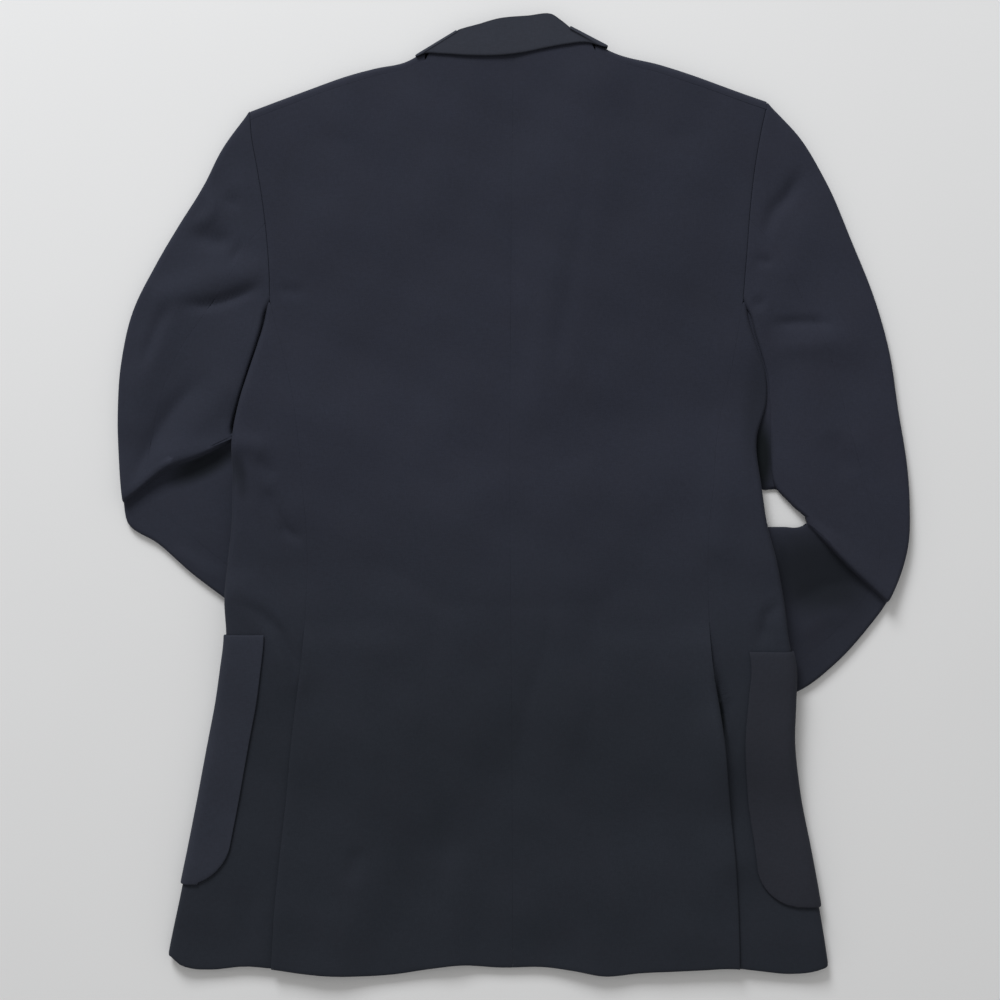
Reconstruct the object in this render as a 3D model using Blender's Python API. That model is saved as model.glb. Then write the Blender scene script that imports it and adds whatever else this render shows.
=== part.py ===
"""Navy single-breasted blazer laid flat, face down, with both forearms tucked under its body.

Every panel is a wall of cloth with a real thickness. Sizes are millimetres, as on a cutter's chart,
in the blazer's own frame: +X to the right of the laid back, +Y towards the collar and +Z up from
the surface it lies on. The origin is on that surface, under the middle of the whole outline.
Walls are made from grids of points on their middle surface, thickened to both sides.
"""
import math
from collections import namedtuple

import bmesh
import bpy
import numpy as np

METRES = 0.001
LEFT = -1
RIGHT = 1
SIDES = {"left": LEFT, "right": RIGHT}

# Cloth walls, each a face cloth with its backing
BODY_WALL = 2.0
SLEEVE_WALL = 1.6
COLLAR_WALL = 1.6
LAPEL_WALL = 1.6
POCKET_WALL = 1.4

# Clearances
SEAM_GAP = 0.3
ARMHOLE_GAP = 0.6
LAYER_GAP = 0.8
LAP_GAP = 1.6

# Moves the outline's middle to the origin
CENTRING = (-0.2, 0.27, 0.0)

# The body's outline and seams, one row for each level from the hem up to the underarm
Level = namedtuple("Level", "y left_edge left_seam right_seam right_edge")
BODY = (
    Level(-388, -281.5, -199.3, 186.2, 259.3),
    Level(-341, -275.4, -196.5, 184.9, 251.9),
    Level(-292, -267.1, -191.5, 181.3, 244.5),
    Level(-246, -259.8, -186.6, 176.3, 236.3),
    Level(-202, -251.9, -182.1, 171.8, 233.0),
    Level(-169, -246.6, -178.0, 167.3, 233.0),
    Level(-143, -241.7, -174.3, 163.2, 230.2),
    Level(-120, -238.0, -172.2, 161.1, 226.0),
    Level(-87, -237.1, -170.2, 159.9, 222.0),
    Level(-54, -235.9, -169.3, 159.5, 216.0),
    Level(-29, -235.1, -170.2, 160.3, 210.4),
    Level(7, -233.9, -173.4, 164.0, 208.8),
    Level(47, -232.0, -177.1, 167.3, 209.6),
    Level(76, -225.8, -180.8, 172.6, 210.8),
    Level(101, -218.4, -185.8, 178.8, 208.0),
    Level(123, -211.4, -190.7, 182.9, 200.6),
    Level(143, -205.6, -195.0, 184.6, 194.4),
    Level(160, -202.8, -197.0, 185.4, 191.6),
)
UNDERARM_Y = 160.0
VENT_TOP_Y = {LEFT: -150.0, RIGHT: -150.0}
VENT_UNDERLAP = 34.0
VENT_TOP_SLANT = 24.0

# The armholes from underarm to crown
Armhole = namedtuple("Armhole", "left_x left_y right_x right_y")
ARMHOLES = (
    Armhole(-197.2, 160.0, 185.6, 160.0),
    Armhole(-199.6, 174.0, 189.2, 176.0),
    Armhole(-202.2, 201.0, 192.3, 201.0),
    Armhole(-206.7, 242.0, 195.6, 242.0),
    Armhole(-211.3, 271.0, 199.6, 275.0),
    Armhole(-215.0, 292.0, 204.0, 300.0),
    Armhole(-217.0, 318.0, 209.5, 325.0),
)
FRONT_ARMHOLE_SCOOP = 14.0
UNDERARM_NOTCH = 8.0
UNDERARM_NOTCH_REACH = 5.0

# The shoulder outline from the neck out to the crown of the sleeve
Shoulder = namedtuple("Shoulder", "left_x left_y right_x right_y")
SHOULDERS = (
    Shoulder(-79.0, 359.0, 72.0, 367.4),
    Shoulder(-114.0, 349.0, 120.4, 351.0),
    Shoulder(-143.0, 340.7, 153.3, 341.0),
    Shoulder(-184.0, 326.0, 190.3, 328.2),
    Shoulder(-217.5, 314.6, 210.0, 322.4),
)
SHOULDER_TURN = 2.5

# The back neck seam and the wavy back hem, each from left to right
NECK_SEAM = ((-86.0, 350.0), (-75.0, 354.6), (-62.0, 360.4), (-45.0, 365.4), (-14.0, 367.6), (24.0, 371.0),
             (44.0, 371.6), (60.0, 368.4), (72.0, 362.8), (82.5, 356.0))
CENTRE_SEAM = ((-388.0, -0.5), (-200.0, -1.5), (0.0, -3.0), (200.0, -2.0), (368.7, 0.0))
HEM = ((-281.5, -378.5), (-275.8, -384.3), (-265.9, -388.4), (-249.5, -389.8), (-219.9, -387.2),
       (-204.3, -388.4), (-175.5, -392.5), (-138.5, -395.0), (-101.5, -394.1), (-68.6, -389.2),
       (-48.1, -386.4), (-11.1, -388.4), (25.9, -388.0), (50.6, -390.9), (76.0, -395.0), (104.0, -392.5),
       (153.3, -390.0), (182.1, -388.6), (202.6, -390.9), (227.3, -393.3), (247.8, -390.9), (259.3, -386.8))

# The two fronts: their inner edges (front edge, break line, neckline) and side seams, underneath
Front = namedtuple("Front", "y left_edge right_edge seam_inset")
FRONTS = (
    Front(-388, -64.0, 80.0, 70.0),
    Front(-376, -52.0, 68.0, 70.0),
    Front(-345, -20.0, 36.0, 68.0),
    Front(-290, 4.0, 2.0, 64.0),
    Front(-200, 15.0, -15.0, 54.0),
    Front(-110, 18.0, -18.0, 44.0),
    Front(-29, 17.5, -17.5, 40.0),
    Front(100, -15.0, 16.0, 24.0),
    Front(160, -30.0, 31.0, 5.8),
    Front(230, -47.5, 49.0, 5.8),
    Front(296, -65.0, 63.0, 5.8),
    Front(312, -75.5, 74.0, 5.8),
    Front(332, -84.5, 81.0, 5.8),
    Front(362, -83.7, 79.6, 5.8),
)
TOP_BUTTON_Y = -38.0
BUTTON_SPACING = 105.0
BUTTON_RADIUS = 10.0
BUTTON_HEIGHT = 3.0

# How thick the laid garment is
RESTING_AIR = 2.6
SIDE_ROLL_AIR = 3.2
SIDE_ROLL_REACH = 26.0
SHOULDER_AIR = 2.6
SHOULDER_REACH = 55.0
NECK_SIDE_X = 92.0
LAYER_FALL = 80.0
PATCH_FALL = 40.0
POCKET_COVER_PAST = 14.0
GRID_MARGIN = 20.0

# The largest soft folds of the upper side: a path, the half width and the height of each
Fold = namedtuple("Fold", "name path width height")
FOLDS = (
    Fold("back, drag from the collar to the waist", ((72, 338), (52, 170), (2, 18)), 26.0, 2.4),
    Fold("back, beside the left shoulder blade", ((-58, 300), (-50, 60)), 28.0, 1.5),
    Fold("left hip, curved", ((-224, -80), (-198, -106), (-180, -150)), 15.0, 2.8),
    Fold("left waist", ((-206, 26), (-186, -12)), 15.0, 1.8),
    Fold("right waist", ((176, 60), (170, -40)), 15.0, 1.6),
    Fold("back hem, left", ((-50, -400), (-47, -310)), 17.0, 2.8),
    Fold("back hem, right", ((72, -400), (66, -318)), 26.0, 2.8),
    Fold("back hem, far left", ((-152, -400), (-128, -318)), 22.0, 2.0),
    Fold("right vent mouth", ((166, -190), (180, -300)), 18.0, 3.2),
    Fold("left sleeve, at the armhole", ((-212, 184), (-245, 177), (-287, 163)), 13.0, 3.2),
    Fold("left sleeve, outer", ((-288, 140), (-306, 92), (-312, 60)), 14.0, 2.4),
    Fold("left sleeve, to the elbow", ((-246, 96), (-286, 58), (-306, 20)), 16.0, 2.2),
    Fold("left sleeve, crown", ((-226, 252), (-242, 232)), 12.0, 1.6),
    Fold("right sleeve, crown", ((244, 258), (226, 222), (218, 190)), 15.0, 2.2),
    Fold("right sleeve, upper arm", ((222, 134), (276, 146)), 15.0, 1.6),
    Fold("right sleeve, elbow", ((286, 40), (302, 0)), 18.0, 1.8),
)

# The sleeves, cut by cut from armhole to cuff: both edges, the upper face's height over the surface
# at the inner edge and beyond it, and how far across from the inner edge the hind seam lies
Cut = namedtuple("Cut", "inner_x inner_y outer_x outer_y inner_height height seam")
SLEEVES = {
    LEFT: (
        Cut(-202.0, 161.0, -218.0, 316.0, 8.0, 8.0, 0.40),
        Cut(-205.2, 151.0, -236.3, 283.2, 8.0, 8.4, 0.41),
        Cut(-207.9, 138.5, -252.8, 251.9, 8.0, 8.4, 0.43),
        Cut(-212.6, 122.0, -272.5, 220.7, 8.0, 8.2, 0.46),
        Cut(-218.8, 103.2, -294.7, 182.9, 8.0, 8.2, 0.50),
        Cut(-223.7, 87.0, -311.1, 150.0, 8.0, 8.4, 0.55),
        Cut(-227.8, 73.0, -321.8, 110.6, 8.0, 8.8, 0.61),
        Cut(-231.0, 62.0, -326.3, 64.0, 7.6, 9.4, 0.68),
        Cut(-232.4, 54.0, -325.1, 26.0, 6.4, 9.8, 0.74),
        Cut(-230.6, 47.4, -321.4, -6.2, 5.4, 9.8, 0.80),
        Cut(-223.0, 44.6, -314.0, -26.2, 5.4, 5.4, 0.82),
        Cut(-209.0, 46.4, -290.6, -42.3, 5.4, 5.4, 0.83),
        Cut(-185.4, 44.8, -264.3, -63.7, 5.4, 5.4, 0.84),
        Cut(-157.4, 31.6, -237.1, -86.7, 5.4, 5.4, 0.85),
        Cut(-118.0, 2.9, -189.5, -123.7, 5.4, 5.4, 0.86),
        Cut(-63.7, -41.5, -136.9, -163.2, 5.4, 5.4, 0.87),
        Cut(-8.6, -94.9, -84.3, -200.2, 5.4, 5.4, 0.88),
    ),
    RIGHT: (
        Cut(190.6, 161.0, 210.6, 323.4, 8.0, 8.0, 0.40),
        Cut(195.6, 148.0, 235.5, 291.4, 8.0, 8.4, 0.41),
        Cut(199.2, 133.6, 258.5, 253.6, 8.0, 8.4, 0.43),
        Cut(204.3, 117.0, 278.2, 210.8, 8.0, 8.2, 0.46),
        Cut(209.4, 99.1, 293.9, 168.1, 8.0, 8.2, 0.50),
        Cut(211.7, 76.0, 307.8, 118.8, 8.0, 8.4, 0.55),
        Cut(212.0, 51.0, 317.7, 67.8, 8.0, 8.6, 0.60),
        Cut(212.2, 28.0, 324.3, 26.7, 8.0, 9.0, 0.65),
        Cut(215.4, 8.0, 326.7, -8.6, 7.6, 9.4, 0.70),
        Cut(229.7, -8.8, 323.5, -43.5, 6.4, 9.8, 0.76),
        Cut(242.4, -23.4, 306.2, -86.7, 5.4, 9.8, 0.82),
        Cut(235.5, -26.9, 289.8, -108.1, 5.4, 5.4, 0.83),
        Cut(224.0, -26.7, 265.1, -136.9, 5.4, 5.4, 0.84),
        Cut(207.2, -26.7, 235.5, -162.3, 5.4, 5.4, 0.85),
        Cut(182.1, -26.7, 198.5, -172.2, 5.4, 5.4, 0.86),
        Cut(145.1, -27.1, 154.9, -173.9, 5.4, 5.4, 0.86),
        Cut(108.1, -28.4, 112.2, -171.4, 5.4, 5.4, 0.87),
        Cut(69.5, -30.0, 71.9, -168.1, 5.4, 5.4, 0.88),
    ),
}
ELBOW_CUT = {LEFT: 9, RIGHT: 10}
SLEEVE_MIDDLE_DIP = 1.0
INNER_EDGE_SHARE = 0.35
HEAD_BLEND = 60.0
SLEEVE_EDGE_ROUNDING = 2.0

# The elbow's fold, where the upper arm's cloth steps down to the forearm: how far each row lies
# past the fold and how much of the step it has gone down
Step = namedtuple("Step", "run fallen")
ELBOW_STEPS = (Step(-7.0, 0.0), Step(-1.8, 0.0), Step(-0.75, 0.08), Step(0.0, 0.3), Step(0.6, 0.7),
               Step(1.4, 0.92), Step(2.6, 1.0), Step(7.0, 1.0))
INNER_STEP_SHARE = 0.6

# Patch pockets: top and bottom, the strip that shows on the upper side, the whole width
Pocket = namedtuple("Pocket", "top bottom strip_top strip_bottom width corner")
POCKETS = {
    LEFT: Pocket(-115.0, -320.0, 33.0, 34.0, 172.0, 30.0),
    RIGHT: Pocket(-129.0, -339.0, 36.0, 47.0, 172.0, 30.0),
}

# The collar from its left front end round the back neck to its right front end. It faces down (-1)
# at its ends, turns over the sides of the neck (0) and faces up (1) across the back. The fall runs
# from the fold to the leaf edge, and the stand from the fold to the neck seam
Section = namedtuple("Section", "facing fold_x fold_y leaf_x leaf_y seam_x seam_y")
COLLAR = (
    Section(-1, -69.5, 311.5, -97.5, 285.2, -74.2, 313.0),
    Section(-1, -68.0, 332.0, -112.0, 308.0, -83.2, 331.0),
    Section(-1, -64.0, 352.0, -103.5, 333.0, -82.9, 345.0),
    Section(0, -60.5, 370.4, -80.3, 354.8, -77.3, 356.2),
    Section(1, -43.0, 380.2, -60.0, 361.6, -56.0, 364.6),
    Section(1, -30.0, 385.4, -36.0, 360.0, -36.0, 367.6),
    Section(1, -11.0, 390.0, -12.0, 360.8, -12.0, 369.2),
    Section(1, 12.0, 393.2, 9.0, 363.2, 10.0, 371.2),
    Section(1, 31.0, 394.6, 30.0, 365.8, 29.0, 372.8),
    Section(1, 40.0, 389.6, 46.0, 366.6, 44.0, 373.2),
    Section(1, 46.0, 386.0, 60.0, 367.8, 56.0, 371.8),
    Section(0, 59.8, 376.2, 75.7, 362.6, 73.3, 364.0),
    Section(-1, 62.0, 358.0, 100.0, 344.0, 78.6, 351.0),
    Section(-1, 66.0, 338.0, 107.0, 317.0, 80.4, 336.0),
    Section(-1, 66.5, 313.5, 94.5, 287.2, 71.4, 315.0),
)
COLLAR_TURNS = (90.0, 60.0, 30.0, 0.0, -30.0, -60.0, -90.0)

# The lapels, from the top button up to the gorge: the break line and the outer edge
Lapel = namedtuple("Lapel", "break_x break_y edge_x edge_y")
LAPELS = {
    LEFT: (
        Lapel(14.5, -24.0, 9.0, -24.0),
        Lapel(4.4, 16.0, -22.0, 22.0),
        Lapel(-6.0, 57.0, -50.0, 64.0),
        Lapel(-19.0, 109.0, -80.0, 116.0),
        Lapel(-33.0, 163.0, -106.0, 166.0),
        Lapel(-46.0, 216.0, -124.0, 206.0),
        Lapel(-58.0, 263.0, -132.5, 236.0),
        Lapel(-69.5, 310.3, -133.0, 250.8),
    ),
    RIGHT: (
        Lapel(6.0, 50.0, 11.0, 50.0),
        Lapel(13.0, 78.0, 34.0, 84.0),
        Lapel(24.0, 124.0, 68.0, 130.0),
        Lapel(36.0, 170.0, 96.0, 172.0),
        Lapel(48.0, 218.0, 118.0, 210.0),
        Lapel(58.0, 264.0, 129.5, 240.0),
        Lapel(66.5, 312.3, 130.0, 252.8),
    ),
}

Finish = namedtuple("Finish", "colour roughness")
BODY_CLOTH = Finish((0.028, 0.031, 0.042), 0.82)
SLEEVE_CLOTH = Finish((0.026, 0.029, 0.040), 0.82)
COLLAR_CLOTH = Finish((0.036, 0.040, 0.048), 0.84)
POCKET_CLOTH = Finish((0.024, 0.026, 0.034), 0.82)
BUTTON_RESIN = Finish((0.014, 0.016, 0.022), 0.35)


# ---------------------------------------------------------------------------- curves and covers

def smooth(t):
    """A soft step from 0 to 1 as t goes from 0 to 1."""
    t = np.clip(t, 0.0, 1.0)
    return t * t * (3.0 - 2.0 * t)


def fall(distance, reach):
    """1 up to a distance of 0, then down to 0 at the given reach."""
    return 1.0 - smooth(distance / reach)


def spline(knots, values, at):
    """A smooth curve through values given at rising knots, read at one or many places."""
    knots = np.asarray(knots, float)
    values = np.asarray(values, float)
    at = np.clip(at, knots[0], knots[-1])
    slopes = np.gradient(values, knots)
    i = np.clip(np.searchsorted(knots, at, side="right") - 1, 0, len(knots) - 2)
    span = knots[i + 1] - knots[i]
    t = (at - knots[i]) / span
    lead = (1 + 2 * t) * (1 - t) ** 2 * values[i] + t * t * (3 - 2 * t) * values[i + 1]
    return lead + span * t * (1 - t) * ((1 - t) * slopes[i] - t * slopes[i + 1])


def column(table, name):
    return [getattr(row, name) for row in table]


def along(points, at):
    """A smooth y(x) through points given from left to right."""
    return spline([p[0] for p in points], [p[1] for p in points], at)


def distance_to_path(path, x, y, closed=False):
    """Distance from each (x, y) to a path of straight stretches."""
    path = np.asarray(path, float)
    ends = np.roll(path, -1, axis=0)
    stretches = len(path) if closed else len(path) - 1
    nearest = np.full(np.shape(x), np.inf)
    for a, b in zip(path[:stretches], ends[:stretches]):
        run = b - a
        t = np.clip(((x - a[0]) * run[0] + (y - a[1]) * run[1]) / (run @ run), 0.0, 1.0)
        nearest = np.minimum(nearest, np.hypot(x - a[0] - t * run[0], y - a[1] - t * run[1]))
    return nearest


def distance_outside(outline, x, y):
    """Distance from each (x, y) to a closed outline, and 0 inside it."""
    outline = np.asarray(outline, float)
    inside = np.zeros(np.shape(x), bool)
    for a, b in zip(outline, np.roll(outline, -1, axis=0)):
        spans = (a[1] > y) != (b[1] > y)
        rise = b[1] - a[1] if b[1] != a[1] else 1.0
        inside ^= spans & (x < a[0] + (y - a[1]) / rise * (b[0] - a[0]))
    return np.where(inside, 0.0, distance_to_path(outline, x, y, closed=True))


# ---------------------------------------------------------------------------- the laid heights

def edge_x(side, y):
    """The body's outermost x at a level."""
    return spline(column(BODY, "y"), column(BODY, "left_edge" if side < 0 else "right_edge"), y)


def seam_x(side, y):
    """The x of the side back seam, or of the vent's edge, at a level."""
    return spline(column(BODY, "y"), column(BODY, "left_seam" if side < 0 else "right_seam"), y)


def front_edge_x(side, y):
    return spline(column(FRONTS, "y"), column(FRONTS, "left_edge" if side < 0 else "right_edge"), y)


def front_seam_x(side, y):
    return edge_x(side, y) - side * spline(column(FRONTS, "y"), column(FRONTS, "seam_inset"), y)


def shoulder_y(side, x):
    """The shoulder outline's y, read from the neck outwards."""
    name = "left" if side < 0 else "right"
    return spline([abs(v) for v in column(SHOULDERS, name + "_x")], column(SHOULDERS, name + "_y"), abs(x))


def armhole_x(side, y):
    name = "left" if side < 0 else "right"
    return spline(column(ARMHOLES, name + "_y"), column(ARMHOLES, name + "_x"), y)


def crown_y(side):
    return SLEEVES[side][0].outer_y


def forearm_outline(side):
    cuts = SLEEVES[side][ELBOW_CUT[side] + 1:]
    return [(c.inner_x, c.inner_y) for c in cuts] + [(c.outer_x, c.outer_y) for c in reversed(cuts)]


def pocket_outline(side):
    """The part of a patch pocket that lies underneath, out past the body's edge."""
    pocket = POCKETS[side]
    hidden = pocket.width - pocket.strip_top
    corners = []
    past = -POCKET_COVER_PAST
    for y, reach in ((pocket.top, hidden), (pocket.bottom, hidden), (pocket.bottom, past), (pocket.top, past)):
        corners.append((edge_x(side, y) - side * reach, y))
    return corners


def lapel_outline(side):
    rows = LAPELS[side]
    return [(row.break_x, row.break_y) for row in rows] + [(row.edge_x, row.edge_y) for row in reversed(rows)]


def collar_outline(side):
    """The collar's end that lies underneath."""
    rows = [s for s in COLLAR if s.facing <= 0 and s.fold_x * side > 0]
    return [(s.fold_x, s.fold_y) for s in rows] + [(s.leaf_x, s.leaf_y) for s in reversed(rows)]


FOREARM_HEIGHT = SLEEVES[LEFT][-1].height
UNDER_LAYERS = []
for each_side in (LEFT, RIGHT):
    UNDER_LAYERS.append((forearm_outline(each_side), FOREARM_HEIGHT + LAYER_GAP, LAYER_FALL))
    UNDER_LAYERS.append((pocket_outline(each_side), POCKET_WALL + LAYER_GAP, PATCH_FALL))
    UNDER_LAYERS.append((lapel_outline(each_side), LAPEL_WALL + LAYER_GAP, PATCH_FALL))
    UNDER_LAYERS.append((collar_outline(each_side), COLLAR_WALL + LAYER_GAP, PATCH_FALL))
BUTTON_CENTRES = ((0.0, TOP_BUTTON_Y), (0.0, TOP_BUTTON_Y - BUTTON_SPACING))


def lift(x, y):
    """How far the fronts' outer face is raised over the surface by what lies under it."""
    arms = np.zeros(np.shape(x))
    patches = np.zeros(np.shape(x))
    for outline, height, reach in UNDER_LAYERS:
        cover = height * fall(distance_outside(outline, x, y) - GRID_MARGIN, reach)
        if height > FOREARM_HEIGHT:
            arms = np.maximum(arms, cover)
        else:
            patches = np.maximum(patches, cover)
    for centre_x, centre_y in BUTTON_CENTRES:
        away = np.hypot(x - centre_x, y - centre_y) - BUTTON_RADIUS - GRID_MARGIN
        patches = np.maximum(patches, (BUTTON_HEIGHT + LAYER_GAP) * fall(away, LAYER_FALL))
    return arms + patches


def overlap_rise(x, y):
    """The right front's rise where it lies on the left front."""
    return (BODY_WALL + LAP_GAP) * fall(x - front_edge_x(LEFT, y) - GRID_MARGIN, LAYER_FALL)


def back_rise(x, y):
    """The back's rise over the lapped strip of both fronts."""
    return overlap_rise(x, y) * fall(front_edge_x(RIGHT, y) - x - GRID_MARGIN, LAYER_FALL)


def folds(x, y):
    total = np.zeros(np.shape(x))
    for fold in FOLDS:
        total = total + fold.height * np.exp(-(distance_to_path(fold.path, x, y) / fold.width) ** 2)
    return total


def shoulder_depth(x, y):
    """Distance below the shoulder outline, and a long way at the open neck."""
    side = np.where(x < 0, LEFT, RIGHT)
    line = np.where(side < 0, shoulder_y(LEFT, x), shoulder_y(RIGHT, x))
    return np.maximum(line - y, 0.0)


def air(x, y):
    """The hollow between the fronts and the back."""
    to_edge = np.minimum(x - edge_x(LEFT, y), edge_x(RIGHT, y) - x)
    below_arm = 0.25 + 0.75 * fall(y - 60.0, 100.0)
    side_roll = SIDE_ROLL_AIR * np.exp(-(np.maximum(to_edge, 0.0) / SIDE_ROLL_REACH) ** 2) * below_arm
    beside_neck = smooth((np.abs(x) - NECK_SIDE_X) / SHOULDER_REACH)
    shoulder = SHOULDER_AIR * beside_neck * np.exp(-(shoulder_depth(x, y) / SHOULDER_REACH) ** 2)
    return RESTING_AIR + np.where(y > UNDERARM_Y, 0.25 * SIDE_ROLL_AIR, side_roll) + shoulder


def top_middle(x, y):
    """Middle height of the upper side's wall, before it turns down at an edge."""
    return lift(x, y) + back_rise(x, y) + 1.5 * BODY_WALL + air(x, y) + folds(x, y)


def under_middle(x, y):
    """Middle height of the underside's wall."""
    return lift(x, y) + 0.5 * BODY_WALL


def vent_rise(side, x, y):
    """The back's rise over the side panel's underlap at a vent."""
    across = np.abs(seam_x(side, y) - x) - VENT_UNDERLAP - GRID_MARGIN
    above = y - VENT_TOP_Y[side] - GRID_MARGIN
    return (BODY_WALL + LAYER_GAP) * fall(across, 60.0) * fall(above, 60.0)


def side_roll(side, y):
    """Radius, centre x and centre height of the roll at the body's side."""
    radius = np.full(np.shape(y), 3.5)
    for _ in range(3):
        centre_x = edge_x(side, y) - side * (0.5 * BODY_WALL + radius)
        low = under_middle(centre_x, y)
        high = top_middle(centre_x, y)
        radius = 0.5 * (high - low)
    return radius, centre_x, 0.5 * (high + low)


def round_side(side, arc, y):
    """The wall's middle at an arc length from the body's outermost line: + above it, - underneath."""
    radius, centre_x, centre_z = side_roll(side, y)
    quarter = 0.5 * math.pi * radius
    angle = np.clip(arc / radius, -0.5 * math.pi, 0.5 * math.pi)
    beyond = np.maximum(np.abs(arc) - quarter, 0.0)
    x = centre_x + side * radius * np.cos(angle) - side * beyond
    flat = np.where(arc > 0, top_middle(x, y), under_middle(x, y))
    z = np.where(beyond > 0, flat, centre_z + radius * np.sin(angle))
    return np.stack([x, np.broadcast_to(y, x.shape), z], axis=-1)


def round_side_normals(side, arc, y):
    """Unit normals of that surface, facing out of the garment."""
    along_arc = round_side(side, arc + 0.5, y) - round_side(side, arc - 0.5, y)
    along_y = round_side(side, arc, y + 2.0) - round_side(side, arc, y - 2.0)
    return unit(np.cross(along_arc, along_y)) * -side


def arc_at(side, x, y):
    """The arc length of a place on the upper side."""
    radius, centre_x, _ = side_roll(side, y)
    inward = side * (centre_x - x)
    turned = radius * np.arccos(np.clip(-inward / radius, 0.0, 1.0))
    return np.where(inward > 0, 0.5 * math.pi * radius + inward, turned)


def top_height(side, x, y):
    """Middle height of the upper side, turned down where it reaches the body's side."""
    flat = top_middle(x, y)
    radius, centre_x, centre_z = side_roll(side, np.minimum(y, UNDERARM_Y))
    past = np.clip(side * (x - centre_x) / radius, 0.0, 0.98)
    turned = centre_z + radius * np.sqrt(1.0 - past ** 2)
    return np.where((past > 0) & (y < UNDERARM_Y), turned, flat)


# ---------------------------------------------------------------------------- cloth walls

def unit(vectors):
    return vectors / np.maximum(np.linalg.norm(vectors, axis=-1, keepdims=True), 1e-9)


def normals(middle, ring=False):
    """Unit normals of a grid of points; a ring closes on itself across its columns."""
    down = np.gradient(middle, axis=0)
    if ring:
        across = np.roll(middle, -1, axis=1) - np.roll(middle, 1, axis=1)
    else:
        across = np.gradient(middle, axis=1)
    return unit(np.cross(down, across))


def material(name, finish):
    made = bpy.data.materials.new(name)
    made.use_nodes = True
    shader = made.node_tree.nodes["Principled BSDF"]
    shader.inputs["Base Color"].default_value = (*finish.colour, 1.0)
    shader.inputs["Roughness"].default_value = finish.roughness
    shader.inputs["Metallic"].default_value = 0.0
    return made


def add_object(name, points, faces, finish, crease_angle=50.0):
    """An object from points in millimetres, with its faces turned outwards."""
    mesh = bpy.data.meshes.new(name)
    mesh.from_pydata(((np.asarray(points) + CENTRING) * METRES).tolist(), [], faces)
    work = bmesh.new()
    work.from_mesh(mesh)
    bmesh.ops.recalc_face_normals(work, faces=work.faces)
    work.to_mesh(mesh)
    work.free()
    mesh.shade_smooth()
    mesh.set_sharp_from_angle(angle=math.radians(crease_angle))
    mesh.materials.append(material(name, finish))
    made = bpy.data.objects.new(name, mesh)
    bpy.context.collection.objects.link(made)
    return made


def wall(name, middle, normal, thickness, finish):
    """A closed wall of cloth on both sides of a grid of middle points."""
    rows, columns = middle.shape[:2]
    half = 0.5 * thickness * normal
    points = np.concatenate([(middle + half).reshape(-1, 3), (middle - half).reshape(-1, 3)])
    other = rows * columns
    index = np.arange(other).reshape(rows, columns)
    faces = []
    for r in range(rows - 1):
        for c in range(columns - 1):
            for corner in (index[r, c + 1], index[r + 1, c]):
                triangle = (index[r, c], corner, index[r + 1, c + 1])
                faces.append(triangle)
                faces.append(tuple(other + i for i in reversed(triangle)))
    border = np.concatenate([index[0, :-1], index[:-1, -1], index[-1, :0:-1], index[:0:-1, 0]])
    for a, b in zip(border, np.roll(border, -1)):
        faces.append((b, a, other + a))
        faces.append((b, other + a, other + b))
    return add_object(name, points, faces, finish)


def patch(inner, outer, south, north, across, up):
    """Points between four edges, each edge a function of a 0 to 1 run."""
    u = across[None, :, None]
    v = up[:, None, None]
    low, high = south(across)[None], north(across)[None]
    near, far = inner(up)[:, None], outer(up)[:, None]
    corners = ((1 - u) * (1 - v) * low[:, :1] + u * (1 - v) * low[:, -1:]
               + (1 - u) * v * high[:, :1] + u * v * high[:, -1:])
    return (1 - v) * low + v * high + (1 - u) * near + u * far - corners


def lerp(a, b, t):
    return a + (b - a) * t


def pair(x, y):
    return np.stack(np.broadcast_arrays(np.asarray(x, float), np.asarray(y, float)), axis=-1)


# ---------------------------------------------------------------------------- the body's panels

BODY_ROWS = 23
ARMHOLE_ROWS = 8
SHOULDER_COLUMNS = 8
NECK_COLUMNS = 5


def hem_y(side):
    """The hem's level at the side back seam, where the rows of every body panel start."""
    return float(along(HEM, seam_x(side, BODY[0].y)))


def levels(side, top):
    """Row heights shared along the side seams: up to the underarm, then on to the given top."""
    below = np.linspace(hem_y(side), UNDERARM_Y, BODY_ROWS)
    return np.concatenate([below, np.linspace(UNDERARM_Y, top, ARMHOLE_ROWS + 1)[1:]])


def shoulder_roll(side, x):
    """Where the shoulder's roll starts, and its radius."""
    inside = shoulder_y(side, x) - 6.0
    radius = 0.5 * (top_middle(x, inside) - under_middle(x, inside))
    return shoulder_y(side, x) - radius - 0.5 * BODY_WALL, radius


def shoulder_ends(side):
    """The shoulder seam's x at the neck and at the armhole."""
    return front_edge_x(side, FRONTS[-1].y), armhole_x(side, crown_y(side) - 9.0)


def front_armhole_x(side, y):
    """The front's armhole, cut in further than the back's."""
    rise = np.clip((y - UNDERARM_Y) / (crown_y(side) - 14.0 - UNDERARM_Y), 0.0, 1.0)
    start = np.abs(armhole_x(side, UNDERARM_Y) - front_seam_x(side, UNDERARM_Y))
    scoop = start * (1.0 - rise) + FRONT_ARMHOLE_SCOOP * np.sin(math.pi * rise)
    return armhole_x(side, y) - side * scoop


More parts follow.
